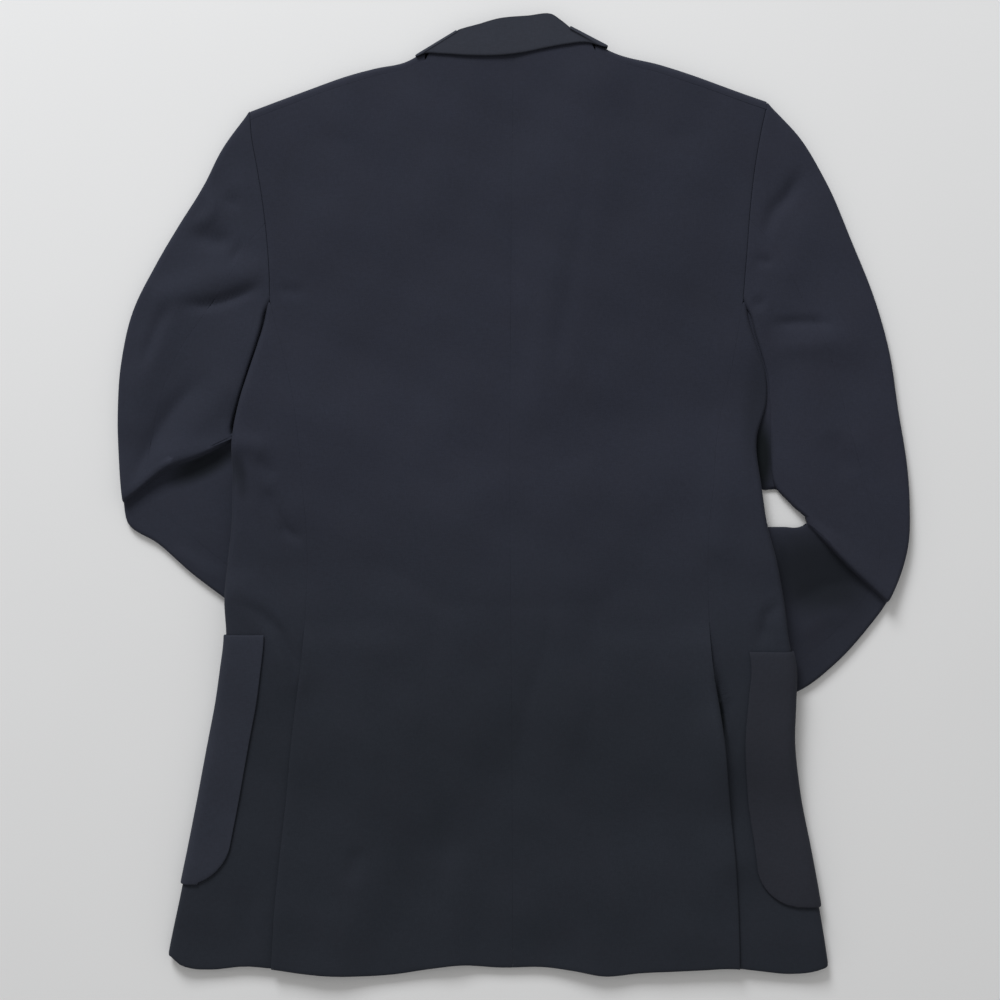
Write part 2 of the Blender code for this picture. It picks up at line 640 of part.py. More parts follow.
def back(side):
    neck_x, tip_x = shoulder_ends(side)

    def seam_line(x):
        return shoulder_roll(side, x)[0] - SHOULDER_TURN - SEAM_GAP

    rows = levels(side, float(seam_line(tip_x)))
    up = (rows - rows[0]) / (rows[-1] - rows[0])
    across = np.linspace(0.0, 1.0, NECK_COLUMNS + SHOULDER_COLUMNS - 1)
    corner = across[NECK_COLUMNS - 1]

    def centre(v):
        y = lerp(along(HEM, 0.0), along(NECK_SEAM, 0.0), v)
        x = spline([p[0] for p in CENTRE_SEAM], [p[1] for p in CENTRE_SEAM], y)
        return pair(x + side * 0.5 * SEAM_GAP, y)

    def outer(v):
        y = lerp(rows[0], rows[-1], v)
        x = np.where(y <= UNDERARM_Y, seam_x(side, y), armhole_x(side, y))
        return pair(x - side * 0.5 * SEAM_GAP, y)

    def hem(u):
        x = lerp(centre(up[:1])[0, 0], outer(up[:1])[0, 0], u)
        return pair(x, along(HEM, x))

    def top(u):
        start = centre(up[-1:])[0, 0]
        in_neck = np.clip(u / corner, 0.0, 1.0)
        in_shoulder = np.clip((u - corner) / (1.0 - corner), 0.0, 1.0)
        x = np.where(u < corner, lerp(start, neck_x, in_neck), lerp(neck_x, outer(up[-1:])[0, 0], in_shoulder))
        meet = seam_line(neck_x) - along(NECK_SEAM, neck_x)
        neck = along(NECK_SEAM, x) + meet * in_neck ** 6
        return pair(x, np.where(u <= corner, neck, seam_line(x)))

    plan = patch(centre, outer, hem, top, across, up)
    x, y = plan[..., 0], plan[..., 1]
    return np.stack([x, y, top_height(side, x, y) + vent_rise(side, x, y)], axis=-1)


def side_columns(side, y, far):
    """Arc lengths down the side roll from a far one on the upper side to the underside."""
    quarter = 0.5 * math.pi * side_roll(side, y)[0]
    near = np.minimum(20.0, 0.4 * far)
    turn = np.minimum(quarter, 0.25 * far)
    arcs = [near, turn]
    arcs += [lerp(turn, -quarter, t) for t in (0.25, 0.5, 0.75, 1.0)]
    return arcs, quarter


def side_panel(side):
    """The side body from the back seam round the side to the front seam."""
    rows = levels(side, UNDERARM_Y + 1.0)[:BODY_ROWS]
    rows[-1] -= 1.0
    y = rows
    seam_arc = arc_at(side, seam_x(side, y), y)
    below_vent = smooth((VENT_TOP_Y[side] - y) / VENT_TOP_SLANT)
    top_arc = seam_arc - 0.5 * SEAM_GAP + (VENT_UNDERLAP + SEAM_GAP) * below_vent
    rounding, quarter = side_columns(side, y, top_arc)
    inner = np.minimum(42.0, 0.62 * top_arc)
    reach = np.abs(front_seam_x(side, y) - edge_x(side, y)) - 0.5 * BODY_WALL
    bottom_arc = -(quarter + reach - side_roll(side, y)[0]) + 0.5 * SEAM_GAP
    arcs = [lerp(top_arc, inner, t) for t in (0.0, 0.5, 1.0)] + rounding
    arcs += [lerp(-quarter, bottom_arc, t) for t in (0.35, 0.68, 1.0)]
    arcs = np.stack(arcs, axis=1)
    level = np.repeat(y[:, None], arcs.shape[1], axis=1)
    level[-1] -= UNDERARM_NOTCH * np.exp(-(arcs[-1] / UNDERARM_NOTCH_REACH) ** 2)
    middle = round_side(side, arcs, level)
    normal = round_side_normals(side, arcs, level)
    wavy = along(HEM, np.clip(middle[0, :, 0], HEM[0][0], HEM[-1][0]))
    middle[..., 1] += fall(y - y[0], 60.0)[:, None] * (wavy - y[0])[None, :]
    return middle, normal


def front(side):
    """A front, from the hem up the underside and over the shoulder to its seam."""
    neck_x, tip_x = shoulder_ends(side)
    rows = levels(side, float(shoulder_roll(side, tip_x)[0]))
    up = (rows - rows[0]) / (rows[-1] - rows[0])
    across = np.linspace(0.0, 1.0, SHOULDER_COLUMNS)
    hem_corner = FRONTS[1].y
    neck_y = float(shoulder_roll(side, neck_x)[0])

    def inner(v):
        y = lerp(hem_corner, neck_y, v)
        return pair(front_edge_x(side, y), y)

    def outer(v):
        y = lerp(rows[0], rows[-1], v)
        x = np.where(y <= UNDERARM_Y, front_seam_x(side, y), front_armhole_x(side, y))
        return pair(x - side * 0.5 * SEAM_GAP, y)

    def hem(u):
        x = lerp(inner(up[:1])[0, 0], outer(up[:1])[0, 0], u)
        return pair(x, lerp(hem_corner, rows[0], smooth(2.0 * u)))

    def top(u):
        x = lerp(inner(up[-1:])[0, 0], outer(up[-1:])[0, 0], u)
        return pair(x, shoulder_roll(side, x)[0])

    plan = patch(inner, outer, hem, top, across, up)
    x, y = plan[..., 0], plan[..., 1]
    rise = overlap_rise(x, y) if side > 0 else 0.0
    flat = np.stack([x, y, under_middle(x, y) + rise], axis=-1)
    end_x, end_y, low_z = flat[-1].T
    radius = 0.5 * (top_middle(end_x, end_y) - low_z)
    turns = []
    for angle in (-60.0, -30.0, 0.0, 30.0, 60.0, 90.0):
        turned = math.radians(angle)
        turns.append(np.stack([end_x, end_y + radius * math.cos(turned),
                               low_z + radius * (1.0 + math.sin(turned))], axis=-1))
    last_y = end_y - SHOULDER_TURN
    turns.append(np.stack([end_x, last_y, top_middle(end_x, last_y)], axis=-1))
    return np.concatenate([flat, np.stack(turns)], axis=0)


# ---------------------------------------------------------------------------- sleeves

UNDER_COLUMNS = 4
OVER_COLUMNS = 4
LOWER_COLUMNS = 7
ROLL_ANGLES = (60.0, 30.0, 0.0, -30.0, -60.0)


def sleeve_columns(seam):
    """Places round a sleeve: (part, place). The first column and the last part meet at the hind seam."""
    places = [("upper", lerp(seam, 1.0, t)) for t in np.linspace(0.0, 1.0, OVER_COLUMNS + 1)]
    places += [("outer", a) for a in ROLL_ANGLES]
    places += [("lower", t) for t in np.linspace(1.0, 0.0, LOWER_COLUMNS + 1)]
    places += [("inner", -a) for a in ROLL_ANGLES]
    places += [("upper", seam * t) for t in np.linspace(0.0, 1.0, UNDER_COLUMNS + 1)[:-1]]
    return places


def edge_normals(points, sign):
    """Level unit vectors square to a path, each the mean of its two neighbouring stretches'."""
    runs = unit(np.diff(points, axis=0))
    square = sign * np.stack([runs[:, 1], -runs[:, 0]], axis=-1)
    return unit(np.concatenate([square[:1], square]) + np.concatenate([square, square[-1:]]))


def sleeve_rows(side):
    """Each ring of a sleeve: its two edge points, heights, seam share and how far it has stepped down."""
    cuts = SLEEVES[side]
    inner = np.array([(c.inner_x, c.inner_y) for c in cuts])
    outer = np.array([(c.outer_x, c.outer_y) for c in cuts])
    runs = []
    for points in (inner, outer):
        runs.append(np.concatenate([[0.0], np.cumsum(np.linalg.norm(np.diff(points, axis=0), axis=1))]))
    elbow = ELBOW_CUT[side]
    rows = []
    for number, cut in enumerate(cuts):
        if number != elbow:
            rows.append((inner[number], outer[number], cut, float(number > elbow)))
            continue
        for step in ELBOW_STEPS:
            near = runs[0][number] + INNER_STEP_SHARE * step.run
            far = runs[1][number] + step.run
            rows.append((np.array([spline(runs[0], inner[:, axis], near) for axis in (0, 1)]),
                         np.array([spline(runs[1], outer[:, axis], far) for axis in (0, 1)]),
                         cut, step.fallen))
    return rows


def armhole_bow(side, part, place, start, end):
    """How far the armhole stands away from the straight line between its ends."""
    x, y = lerp(start, end, place)
    edge = armhole_x if part == "upper" else front_armhole_x
    return np.array([float(edge(side, np.clip(y, UNDERARM_Y, crown_y(side)))) + side * ARMHOLE_GAP - x, 0.0])


def sleeve(side):
    """Middle points of a whole sleeve, ring by ring from armhole to cuff."""
    rows = sleeve_rows(side)
    half = 0.5 * SLEEVE_WALL
    after = SLEEVES[side][-1].height
    inner_way = edge_normals(np.array([row[0] for row in rows]), side)
    outer_way = edge_normals(np.array([row[1] for row in rows]), -side)
    head_inner, head_outer = rows[0][:2]
    along_head = unit(head_outer - head_inner)
    inner_way[0] = -along_head
    inner_way[1] = unit(inner_way[1] - along_head)
    outer_way[0] = along_head
    rings = []
    head = None
    for number, (inner, outer, cut, fallen) in enumerate(rows):
        near_head = fall(np.linalg.norm(outer - head_outer), HEAD_BLEND)

        def height(w):
            """Middle height of the upper wall."""
            x, y = lerp(inner, outer, w)
            before = lerp(cut.inner_height, cut.height, smooth(w / INNER_EDGE_SHARE))
            own = lerp(before, after, fallen) - half - SLEEVE_MIDDLE_DIP * (1.0 - (2.0 * w - 1.0) ** 2)
            if fallen == 0.0:
                own = own + float(folds(np.array([x]), np.array([y]))[0])
            at_y = np.clip(y, UNDERARM_Y, crown_y(side) - 8.0)
            return lerp(own, float(top_middle(armhole_x(side, at_y), at_y)), near_head ** 2)

        radius = {"inner": 0.5 * (height(0.0) - half), "outer": 0.5 * (height(1.0) - half)}
        start = inner - inner_way[number] * (half + SLEEVE_EDGE_ROUNDING)
        end = outer - outer_way[number] * (half + SLEEVE_EDGE_ROUNDING)
        if head is None:
            head = (start, end)

        def bow(part, w):
            return armhole_bow(side, part, w, *head) * near_head ** 2

        ring = []
        for part, place in sleeve_columns(cut.seam):
            if part in ("upper", "lower"):
                spot = lerp(start, end, place) + bow(part, place)
                level = height(place) if part == "upper" else half
            else:
                turned = math.radians(place)
                centre, way, w = (end, outer_way, 1.0) if part == "outer" else (start, inner_way, 0.0)
                raised = 0.5 * (1.0 + math.sin(turned))
                spot = centre + way[number] * SLEEVE_EDGE_ROUNDING * math.cos(turned)
                spot = spot + lerp(bow("lower", w), bow("upper", w), raised)
                level = half + 2.0 * radius[part] * raised
            ring.append((spot[0], spot[1], level))
        rings.append(ring)
    return np.array(rings)


def split_sleeve(side):
    """The top sleeve and the under sleeve, parted at the hind seam and the forearm seam."""
    ring = sleeve(side)
    normal = normals(ring, ring=True)
    places = sleeve_columns(0.5)
    forearm_seam = max(i for i, (part, place) in enumerate(places) if part == "lower" and place > 0.0)
    order_top = list(range(0, forearm_seam + 1))
    order_under = list(range(forearm_seam, len(places))) + [0]
    strips = {}
    for name, order in (("top", order_top), ("under", order_under)):
        strip = ring[:, order].copy()
        strip[:, 0] += unit(strip[:, 1] - strip[:, 0]) * 0.5 * SEAM_GAP
        strip[:, -1] += unit(strip[:, -2] - strip[:, -1]) * 0.5 * SEAM_GAP
        strips[name] = (strip, normal[:, order])
    return strips


# ---------------------------------------------------------------------------- what lies on the panels

POCKET_CORNER_ANGLES = (0.0, 30.0, 60.0)
POCKET_ROWS = 9
POCKET_UNDER_COLUMNS = 4
LAPEL_COLUMNS = 5
LAPEL_ROWS = 12
COLLAR_BULGE = {"fall": 3.9, "stand": 1.6}
FOLD_BULGE = {"fall": 1.1, "stand": 1.2}
FOLD_TAPER = 7.0
COLLAR_COLUMNS = {"fall": 6, "stand": 4}
FOLD_INSET = {"fall": 0.0, "stand": 1.2}
TURN_INSET = {"fall": 0.0, "stand": 7.0}
BUTTON_SPOKES = 16


def pocket(side):
    """A patch pocket that wraps the body's side, on the panels' own surface moved out."""
    cut = POCKETS[side]
    up = np.linspace(0.0, 1.0, POCKET_ROWS)
    y = lerp(cut.bottom, cut.top, up)
    start = lerp(cut.strip_bottom, cut.strip_top, up)
    end = start - cut.width
    angles = np.radians(POCKET_CORNER_ANGLES)
    into_corner = cut.corner * (1.0 - np.cos(angles))
    rounding, quarter = side_columns(side, y, start)
    arcs = [start - into for into in into_corner] + rounding[1:]
    arcs += [lerp(-quarter, end + cut.corner, t) for t in np.linspace(0.0, 1.0, POCKET_UNDER_COLUMNS)[1:]]
    arcs += [end + into for into in into_corner[::-1]]
    arcs = np.stack(arcs, axis=1)
    corner_rise = cut.corner * (1.0 - np.sin(angles))
    straight = np.zeros(arcs.shape[1] - 2 * len(angles))
    rise = np.concatenate([corner_rise, straight, corner_rise[::-1]])
    level = lerp(cut.bottom + rise[None, :], cut.top, up[:, None])
    base = round_side(side, arcs, level)
    normal = round_side_normals(side, arcs, level)
    middle = base + normal * (0.5 * BODY_WALL + LAYER_GAP + 0.5 * POCKET_WALL)
    return middle, normal


def lapel(side):
    """A lapel turned back on the outer face of its front, which lies underneath."""
    table = LAPELS[side]
    knots = np.linspace(0.0, 1.0, len(table))
    v = np.linspace(0.0, 1.0, LAPEL_ROWS)
    read = {name: spline(knots, column(table, name), v)[:, None] for name in Lapel._fields}
    u = np.linspace(0.0, 1.0, LAPEL_COLUMNS)[None, :]
    x = lerp(read["break_x"], read["edge_x"], u)
    y = lerp(read["break_y"], read["edge_y"], u)
    rise = overlap_rise(x, y) if side > 0 else 0.0
    down = 0.5 * BODY_WALL + LAYER_GAP + 0.5 * LAPEL_WALL
    return np.stack([x, y, under_middle(x, y) + rise - down], axis=-1)


def collar_stations():
    """Every section's fold, leaf edge and neck seam in level planes, with its turn in degrees."""
    stations = []
    for number, section in enumerate(COLLAR):
        turns = COLLAR_TURNS if section.facing == 0 else (90.0 * section.facing,)
        if section.fold_x < 0:
            turns = turns[::-1]
        stations += [(section[1:], turn) for turn in turns]
        following = COLLAR[min(number + 1, len(COLLAR) - 1)]
        if section.facing == following.facing and section is not following:
            halfway = tuple(lerp(a, b, 0.5) for a, b in zip(section[1:], following[1:]))
            stations.append((halfway, turns[-1]))
    return stations


def collar_sheet(part):
    """The fall or the stand: one sheet that turns over both sides of the open neck, and its normals."""
    half = 0.5 * COLLAR_WALL
    sheet = []
    facing = []
    for (fold_x, fold_y, leaf_x, leaf_y, seam_x_at, seam_y_at), turn in collar_stations():
        side = LEFT if fold_x < 0 else RIGHT
        fold = np.array([fold_x, fold_y])
        edge = np.array([leaf_x, leaf_y] if part == "fall" else [seam_x_at, seam_y_at])
        back_level = float(top_middle(np.float64(seam_x_at), np.float64(seam_y_at)))
        over_back = 0.5 * BODY_WALL + LAYER_GAP + half
        high = back_level + (over_back if part == "fall" else 0.0)
        low = half + (0.0 if part == "fall" else COLLAR_WALL + LAYER_GAP)
        swing = 0.5 * (high - low)
        turned = math.radians(turn)
        to_fold = unit(fold - edge)
        square = side * np.array([to_fold[1], -to_fold[0]]) * math.cos(turned)
        row = []
        level = 0.5 * (high + low) + swing * math.sin(turned)
        near = fold - to_fold * lerp(FOLD_INSET[part], TURN_INSET[part], math.cos(turned))
        reach = np.linalg.norm(near - edge)
        taper = max(0.0, 1.0 - FOLD_TAPER / reach)
        places = [taper * t for t in np.linspace(0.0, 1.0, COLLAR_COLUMNS[part] - 1)] + [1.0]
        for t in places:
            bulge = lerp(COLLAR_BULGE[part], FOLD_BULGE[part], max(0.0, (t - taper) / (1.0 - taper)))
            row.append((*(lerp(edge, near, t) + bulge * square), level))
        sheet.append(row)
        facing.append([(*square, math.sin(turned))] * len(places))
    return np.array(sheet), np.array(facing)


def button(name, centre):
    """A turned button with a rounded rim, hanging on the left front's outer face."""
    profile = ((0.0, 0.0), (0.62, 0.0), (0.86, 0.12), (1.0, 0.42), (1.0, 0.72), (0.82, 1.0), (0.0, 1.0))
    middle_x, middle_y = centre
    slope_x = lift(middle_x + BUTTON_RADIUS, middle_y) - lift(middle_x - BUTTON_RADIUS, middle_y)
    slope_y = lift(middle_x, middle_y + BUTTON_RADIUS) - lift(middle_x, middle_y - BUTTON_RADIUS)
    seat = lift(middle_x, middle_y) - LAYER_GAP - BUTTON_HEIGHT

    def place(share, level, angle=0.0):
        """A point of the button, tilted as the cloth it hangs on."""
        east = share * math.cos(angle)
        north = share * math.sin(angle)
        height = seat + 0.5 * (slope_x * east + slope_y * north) + level * BUTTON_HEIGHT
        return middle_x + BUTTON_RADIUS * east, middle_y + BUTTON_RADIUS * north, height

    angles = np.linspace(0.0, 2.0 * math.pi, BUTTON_SPOKES, endpoint=False)
    points = [place(0.0, 0.0)]
    for share, level in profile[1:-1]:
        points += [place(share, level, angle) for angle in angles]
    points.append(place(0.0, 1.0))
    faces = []
    for spoke in range(BUTTON_SPOKES):
        following = (spoke + 1) % BUTTON_SPOKES
        faces.append((0, 1 + following, 1 + spoke))
        for step in range(len(profile) - 3):
            a, b = 1 + step * BUTTON_SPOKES, 1 + (step + 1) * BUTTON_SPOKES
            faces.append((a + spoke, a + following, b + following, b + spoke))
        last = 1 + (len(profile) - 3) * BUTTON_SPOKES
        faces.append((last + spoke, last + following, len(points) - 1))
    return add_object(name, points, faces, BUTTON_RESIN)


def build():
    for leftover in list(bpy.data.objects):
        bpy.data.objects.remove(leftover, do_unlink=True)
    for name, side in SIDES.items():
        for part, middle in (("back", back(side)), ("front", front(side))):
            wall(part + "_" + name, middle, normals(middle), BODY_WALL, BODY_CLOTH)
        middle, normal = side_panel(side)
        wall("side_" + name, middle, normal, BODY_WALL, BODY_CLOTH)
        for part, (strip, normal) in split_sleeve(side).items():
            wall(part + "_sleeve_" + name, strip, normal, SLEEVE_WALL, SLEEVE_CLOTH)
        middle, normal = pocket(side)
        wall("pocket_" + name, middle, normal, POCKET_WALL, POCKET_CLOTH)
        turned_back = lapel(side)
        wall("lapel_" + name, turned_back, normals(turned_back), LAPEL_WALL, BODY_CLOTH)
    for part in ("fall", "stand"):
        sheet, facing = collar_sheet(part)
        wall("collar_" + part, sheet, facing, COLLAR_WALL, COLLAR_CLOTH)
    for name, centre in zip(("button_upper", "button_lower"), BUTTON_CENTRES):
        button(name, centre)


build()
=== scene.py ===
"""How the navy single-breasted blazer looks, laid flat and face down with its forearms tucked under it.

Each panel is a thin shell of cloth on the form of its solid, with finer rows, soft turned edges and
the creases of the laid garment. Sizes are millimetres in the blazer's own frame: +X to the right of
the laid back, +Y towards the collar and +Z up from the surface it lies on.
"""
import math
from collections import namedtuple

import bmesh
import bpy
import numpy as np
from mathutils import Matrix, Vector


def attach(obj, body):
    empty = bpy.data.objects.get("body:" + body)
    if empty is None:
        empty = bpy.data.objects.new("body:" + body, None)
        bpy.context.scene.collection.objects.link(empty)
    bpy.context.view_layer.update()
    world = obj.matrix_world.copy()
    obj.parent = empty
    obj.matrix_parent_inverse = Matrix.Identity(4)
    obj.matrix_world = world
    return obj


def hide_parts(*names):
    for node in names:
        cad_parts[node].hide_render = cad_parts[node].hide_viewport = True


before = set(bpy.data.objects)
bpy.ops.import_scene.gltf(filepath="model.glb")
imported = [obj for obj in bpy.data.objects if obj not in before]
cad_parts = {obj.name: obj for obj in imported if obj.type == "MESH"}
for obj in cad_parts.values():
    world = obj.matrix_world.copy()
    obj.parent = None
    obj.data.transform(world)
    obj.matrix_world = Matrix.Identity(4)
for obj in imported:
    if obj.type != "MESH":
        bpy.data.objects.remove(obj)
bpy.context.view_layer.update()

METRES = 0.001
LEFT = -1
RIGHT = 1
NAMES = {LEFT: "left", RIGHT: "right"}

# Cloth walls, each a face cloth with its backing
BODY_WALL = 2.0
SLEEVE_WALL = 1.6
COLLAR_WALL = 1.6
LAPEL_WALL = 1.6
POCKET_WALL = 1.4
WALLS = {"body": BODY_WALL, "sleeve": SLEEVE_WALL, "pocket": POCKET_WALL}

# Clearances
SEAM_GAP = 0.06
ARMHOLE_GAP = 0.18
LAYER_GAP = 0.8
LAP_GAP = 1.6


def named(kind, table):
    """A table's rows with their columns named."""
    return [kind(*row) for row in table]


# Moves the outline's middle to the origin
CENTRING = (-0.2, 0.27, 0.0)

# The body's outline and seams, one row for each level from the hem up to the underarm
Level = namedtuple("Level", "y left_edge left_seam right_seam right_edge")
BODY = named(Level, (
    (-388, -284.3, -199.3, 186.2, 259.3),
    (-341, -276.4, -196.5, 184.9, 251.9),
    (-292, -266.4, -191.5, 181.3, 243.0),
    (-246, -257.4, -186.6, 176.3, 234.0),
    (-202, -249.2, -182.1, 171.8, 228.8),
    (-169, -242.8, -178.0, 167.3, 229.8),
    (-143, -238.8, -174.3, 163.2, 230.2),
    (-120, -235.8, -172.2, 161.1, 226.0),
    (-87, -237.1, -170.2, 159.9, 222.0),
    (-54, -234.6, -169.3, 159.5, 216.0),
    (-29, -231.8, -170.2, 160.3, 209.4),
    (7, -230.8, -173.4, 164.0, 203.8),
    (47, -231.2, -177.1, 167.3, 200.6),
    (76, -225.8, -180.8, 172.6, 208.8),
    (101, -218.4, -185.8, 178.8, 208.0),
    (123, -211.4, -191.2, 183.2, 200.6),
    (143, -205.6, -196.8, 186.4, 194.4),
    (160, -202.8, -200.6, 189.0, 191.6),
))
UNDERARM_Y = 160.0
VENT_TOP_Y = -150.0
VENT_UNDERLAP = 34.0
VENT_TOP_SLANT = 24.0
VENT_FALL_ACROSS = 60.0
VENT_FALL_ABOVE = 28.0

# The armholes from underarm to crown
Armhole = namedtuple("Armhole", "left_x left_y right_x right_y")
ARMHOLES = named(Armhole, (
    (-200.8, 160.0, 189.2, 160.0),
    (-200.8, 174.0, 190.4, 176.0),
    (-202.2, 201.0, 192.3, 201.0),
    (-206.7, 242.0, 195.6, 242.0),
    (-211.3, 271.0, 199.6, 275.0),
    (-215.0, 292.0, 204.0, 300.0),
    (-217.0, 318.0, 209.5, 325.0),
))
FRONT_ARMHOLE_SCOOP = 14.0
FRONT_CROWN_DROP = 14.0
SIDE_TOP_DROP = 1.0
UNDERARM_NOTCH = 1.0
UNDERARM_NOTCH_REACH = 5.0

# The shoulder outline from the neck out to the crown of the sleeve
Shoulder = namedtuple("Shoulder", "left_x left_y right_x right_y")
SHOULDERS = named(Shoulder, (
    (-74.8, 364.0, 69.0, 371.2),
    (-85.0, 358.0, 75.6, 367.2),
    (-114.0, 350.8, 120.4, 353.6),
    (-143.0, 342.6, 153.3, 343.2),
    (-184.0, 328.0, 190.3, 329.8),
    (-217.5, 315.2, 210.0, 323.0),
))
SHOULDER_TURN = 2.5
SHOULDER_TIP_DROP = 9.0
SHOULDER_ANGLES = np.linspace(-75.0, 90.0, 12)

# The back neck seam from left to right, the centre seam from hem to neck, the wavy hem from left to right
NECK_SEAM = ((-76.2, 356.0), (-74.6, 361.6), (-68.6, 364.8), (-59.6, 365.8), (-36.0, 367.6), (-12.0, 368.6),
             (9.0, 370.6), (28.0, 372.0), (42.0, 373.4), (57.0, 373.4), (65.0, 371.6), (69.4, 368.4),
             (71.0, 362.0))
CENTRE_SEAM = ((-388.0, -0.5), (-200.0, -1.5), (0.0, -3.0), (200.0, -2.0), (368.7, 0.0))
HEM = ((-281.5, -380.1), (-275.8, -385.9), (-265.9, -390.0), (-249.5, -391.4), (-219.9, -388.8),
       (-204.3, -390.0), (-175.5, -394.1), (-138.5, -396.6), (-101.5, -395.7), (-68.6, -390.8),
       (-48.1, -388.0), (-11.1, -390.0), (25.9, -389.6), (50.6, -392.5), (76.0, -396.6), (104.0, -394.1),
       (153.3, -391.6), (182.1, -390.2), (202.6, -392.5), (227.3, -394.9), (247.8, -392.5), (259.3, -388.4))
HEM_WAVE_REACH = 60.0
# How sharply the neck seam's end rises to meet the shoulder seam
NECK_CORNER_SHARPNESS = 60

# The two fronts: their inner edges (front edge, break line, neckline) and side seams, underneath
Front = namedtuple("Front", "y left_edge right_edge seam_inset")
FRONTS = named(Front, (
    (-388, -64.0, 80.0, 70.0),
    (-376, -52.0, 68.0, 70.0),
    (-345, -20.0, 36.0, 68.0),
    (-290, 4.0, 2.0, 64.0),
    (-200, 15.0, -15.0, 54.0),
    (-110, 18.0, -18.0, 44.0),
    (-29, 17.5, -17.5, 40.0),
    (100, -15.0, 16.0, 24.0),
    (160, -30.0, 31.0, 5.8),
    (230, -47.5, 49.0, 5.8),
    (296, -65.0, 63.0, 5.8),
    (312, -75.5, 74.0, 5.8),
    (332, -84.5, 81.0, 5.8),
    (362, -72.2, 67.2, 5.8),
))
TOP_BUTTON_Y = -38.0
BUTTON_SPACING = 105.0
BUTTON_RADIUS = 10.0
BUTTON_HEIGHT = 3.0
BUTTON_CENTRES = ((0.0, TOP_BUTTON_Y), (0.0, TOP_BUTTON_Y - BUTTON_SPACING))

# The hollow inside the laid garment: everywhere, at the sides and at the shoulders
RESTING_AIR = 2.6
SIDE_ROLL_AIR = 3.2
SIDE_ROLL_REACH = 26.0
SHOULDER_AIR = 2.6
SHOULDER_REACH = 55.0
NECK_SIDE_X = 92.0
# From here up to the sleeves the side's hollow shrinks to this share of it
WAIST_AIR_Y = 60.0
WAIST_AIR_REACH = 100.0
ARM_AIR_REACH = 70.0
ARM_AIR_SHARE = 0.25

# How far the cloth takes to fall from what it covers, and how much wider than that the cover is
LAYER_FALL = 80.0
PATCH_FALL = 40.0
POCKET_COVER_PAST = 14.0
GRID_MARGIN = 20.0

# The roll of the body's side is worked out in rounds, and its surface is probed this far to each side
FIRST_ROLL_RADIUS = 3.5
ROLL_ROUNDS = 3
STEEPEST_TURN = 0.98
ARC_PROBE = 0.5
LEVEL_PROBE = 2.0
SHOULDER_PROBE = 6.0

# The largest soft folds of the upper side: a path, the half width and the height of each
Fold = namedtuple("Fold", "name path width height")
FOLDS = named(Fold, (
    ("back, drag from the collar to the waist", ((72, 338), (52, 170), (2, 18)), 26.0, 2.4),
    ("back, beside the left shoulder blade", ((-58, 300), (-50, 60)), 28.0, 1.5),
    ("left hip, curved", ((-224, -80), (-198, -106), (-180, -150)), 15.0, 2.8),
    ("left waist", ((-206, 26), (-186, -12)), 15.0, 1.8),
    ("right waist", ((176, 60), (170, -40)), 15.0, 1.6),
    ("back hem, left", ((-50, -400), (-47, -310)), 17.0, 2.8),
    ("back hem, right", ((72, -400), (66, -318)), 26.0, 2.8),
    ("back hem, far left", ((-152, -400), (-128, -318)), 22.0, 2.0),
    ("right vent mouth", ((166, -190), (180, -300)), 18.0, 3.2),
    ("left sleeve, at the armhole", ((-212, 184), (-245, 177), (-287, 163)), 13.0, 3.2),
    ("left sleeve, outer", ((-288, 140), (-306, 92), (-312, 60)), 14.0, 2.4),
    ("left sleeve, to the elbow", ((-236, 84), (-258, 60), (-282, 32)), 14.0, 2.4),
    ("left sleeve, crown", ((-226, 252), (-242, 232)), 12.0, 1.6),
    ("right sleeve, crown", ((252, 246), (236, 216), (226, 186)), 15.0, 1.4),
    ("right sleeve, upper arm", ((222, 118), (276, 124)), 15.0, 1.2),
    ("right sleeve, elbow", ((286, 40), (302, 0)), 18.0, 1.8),
))

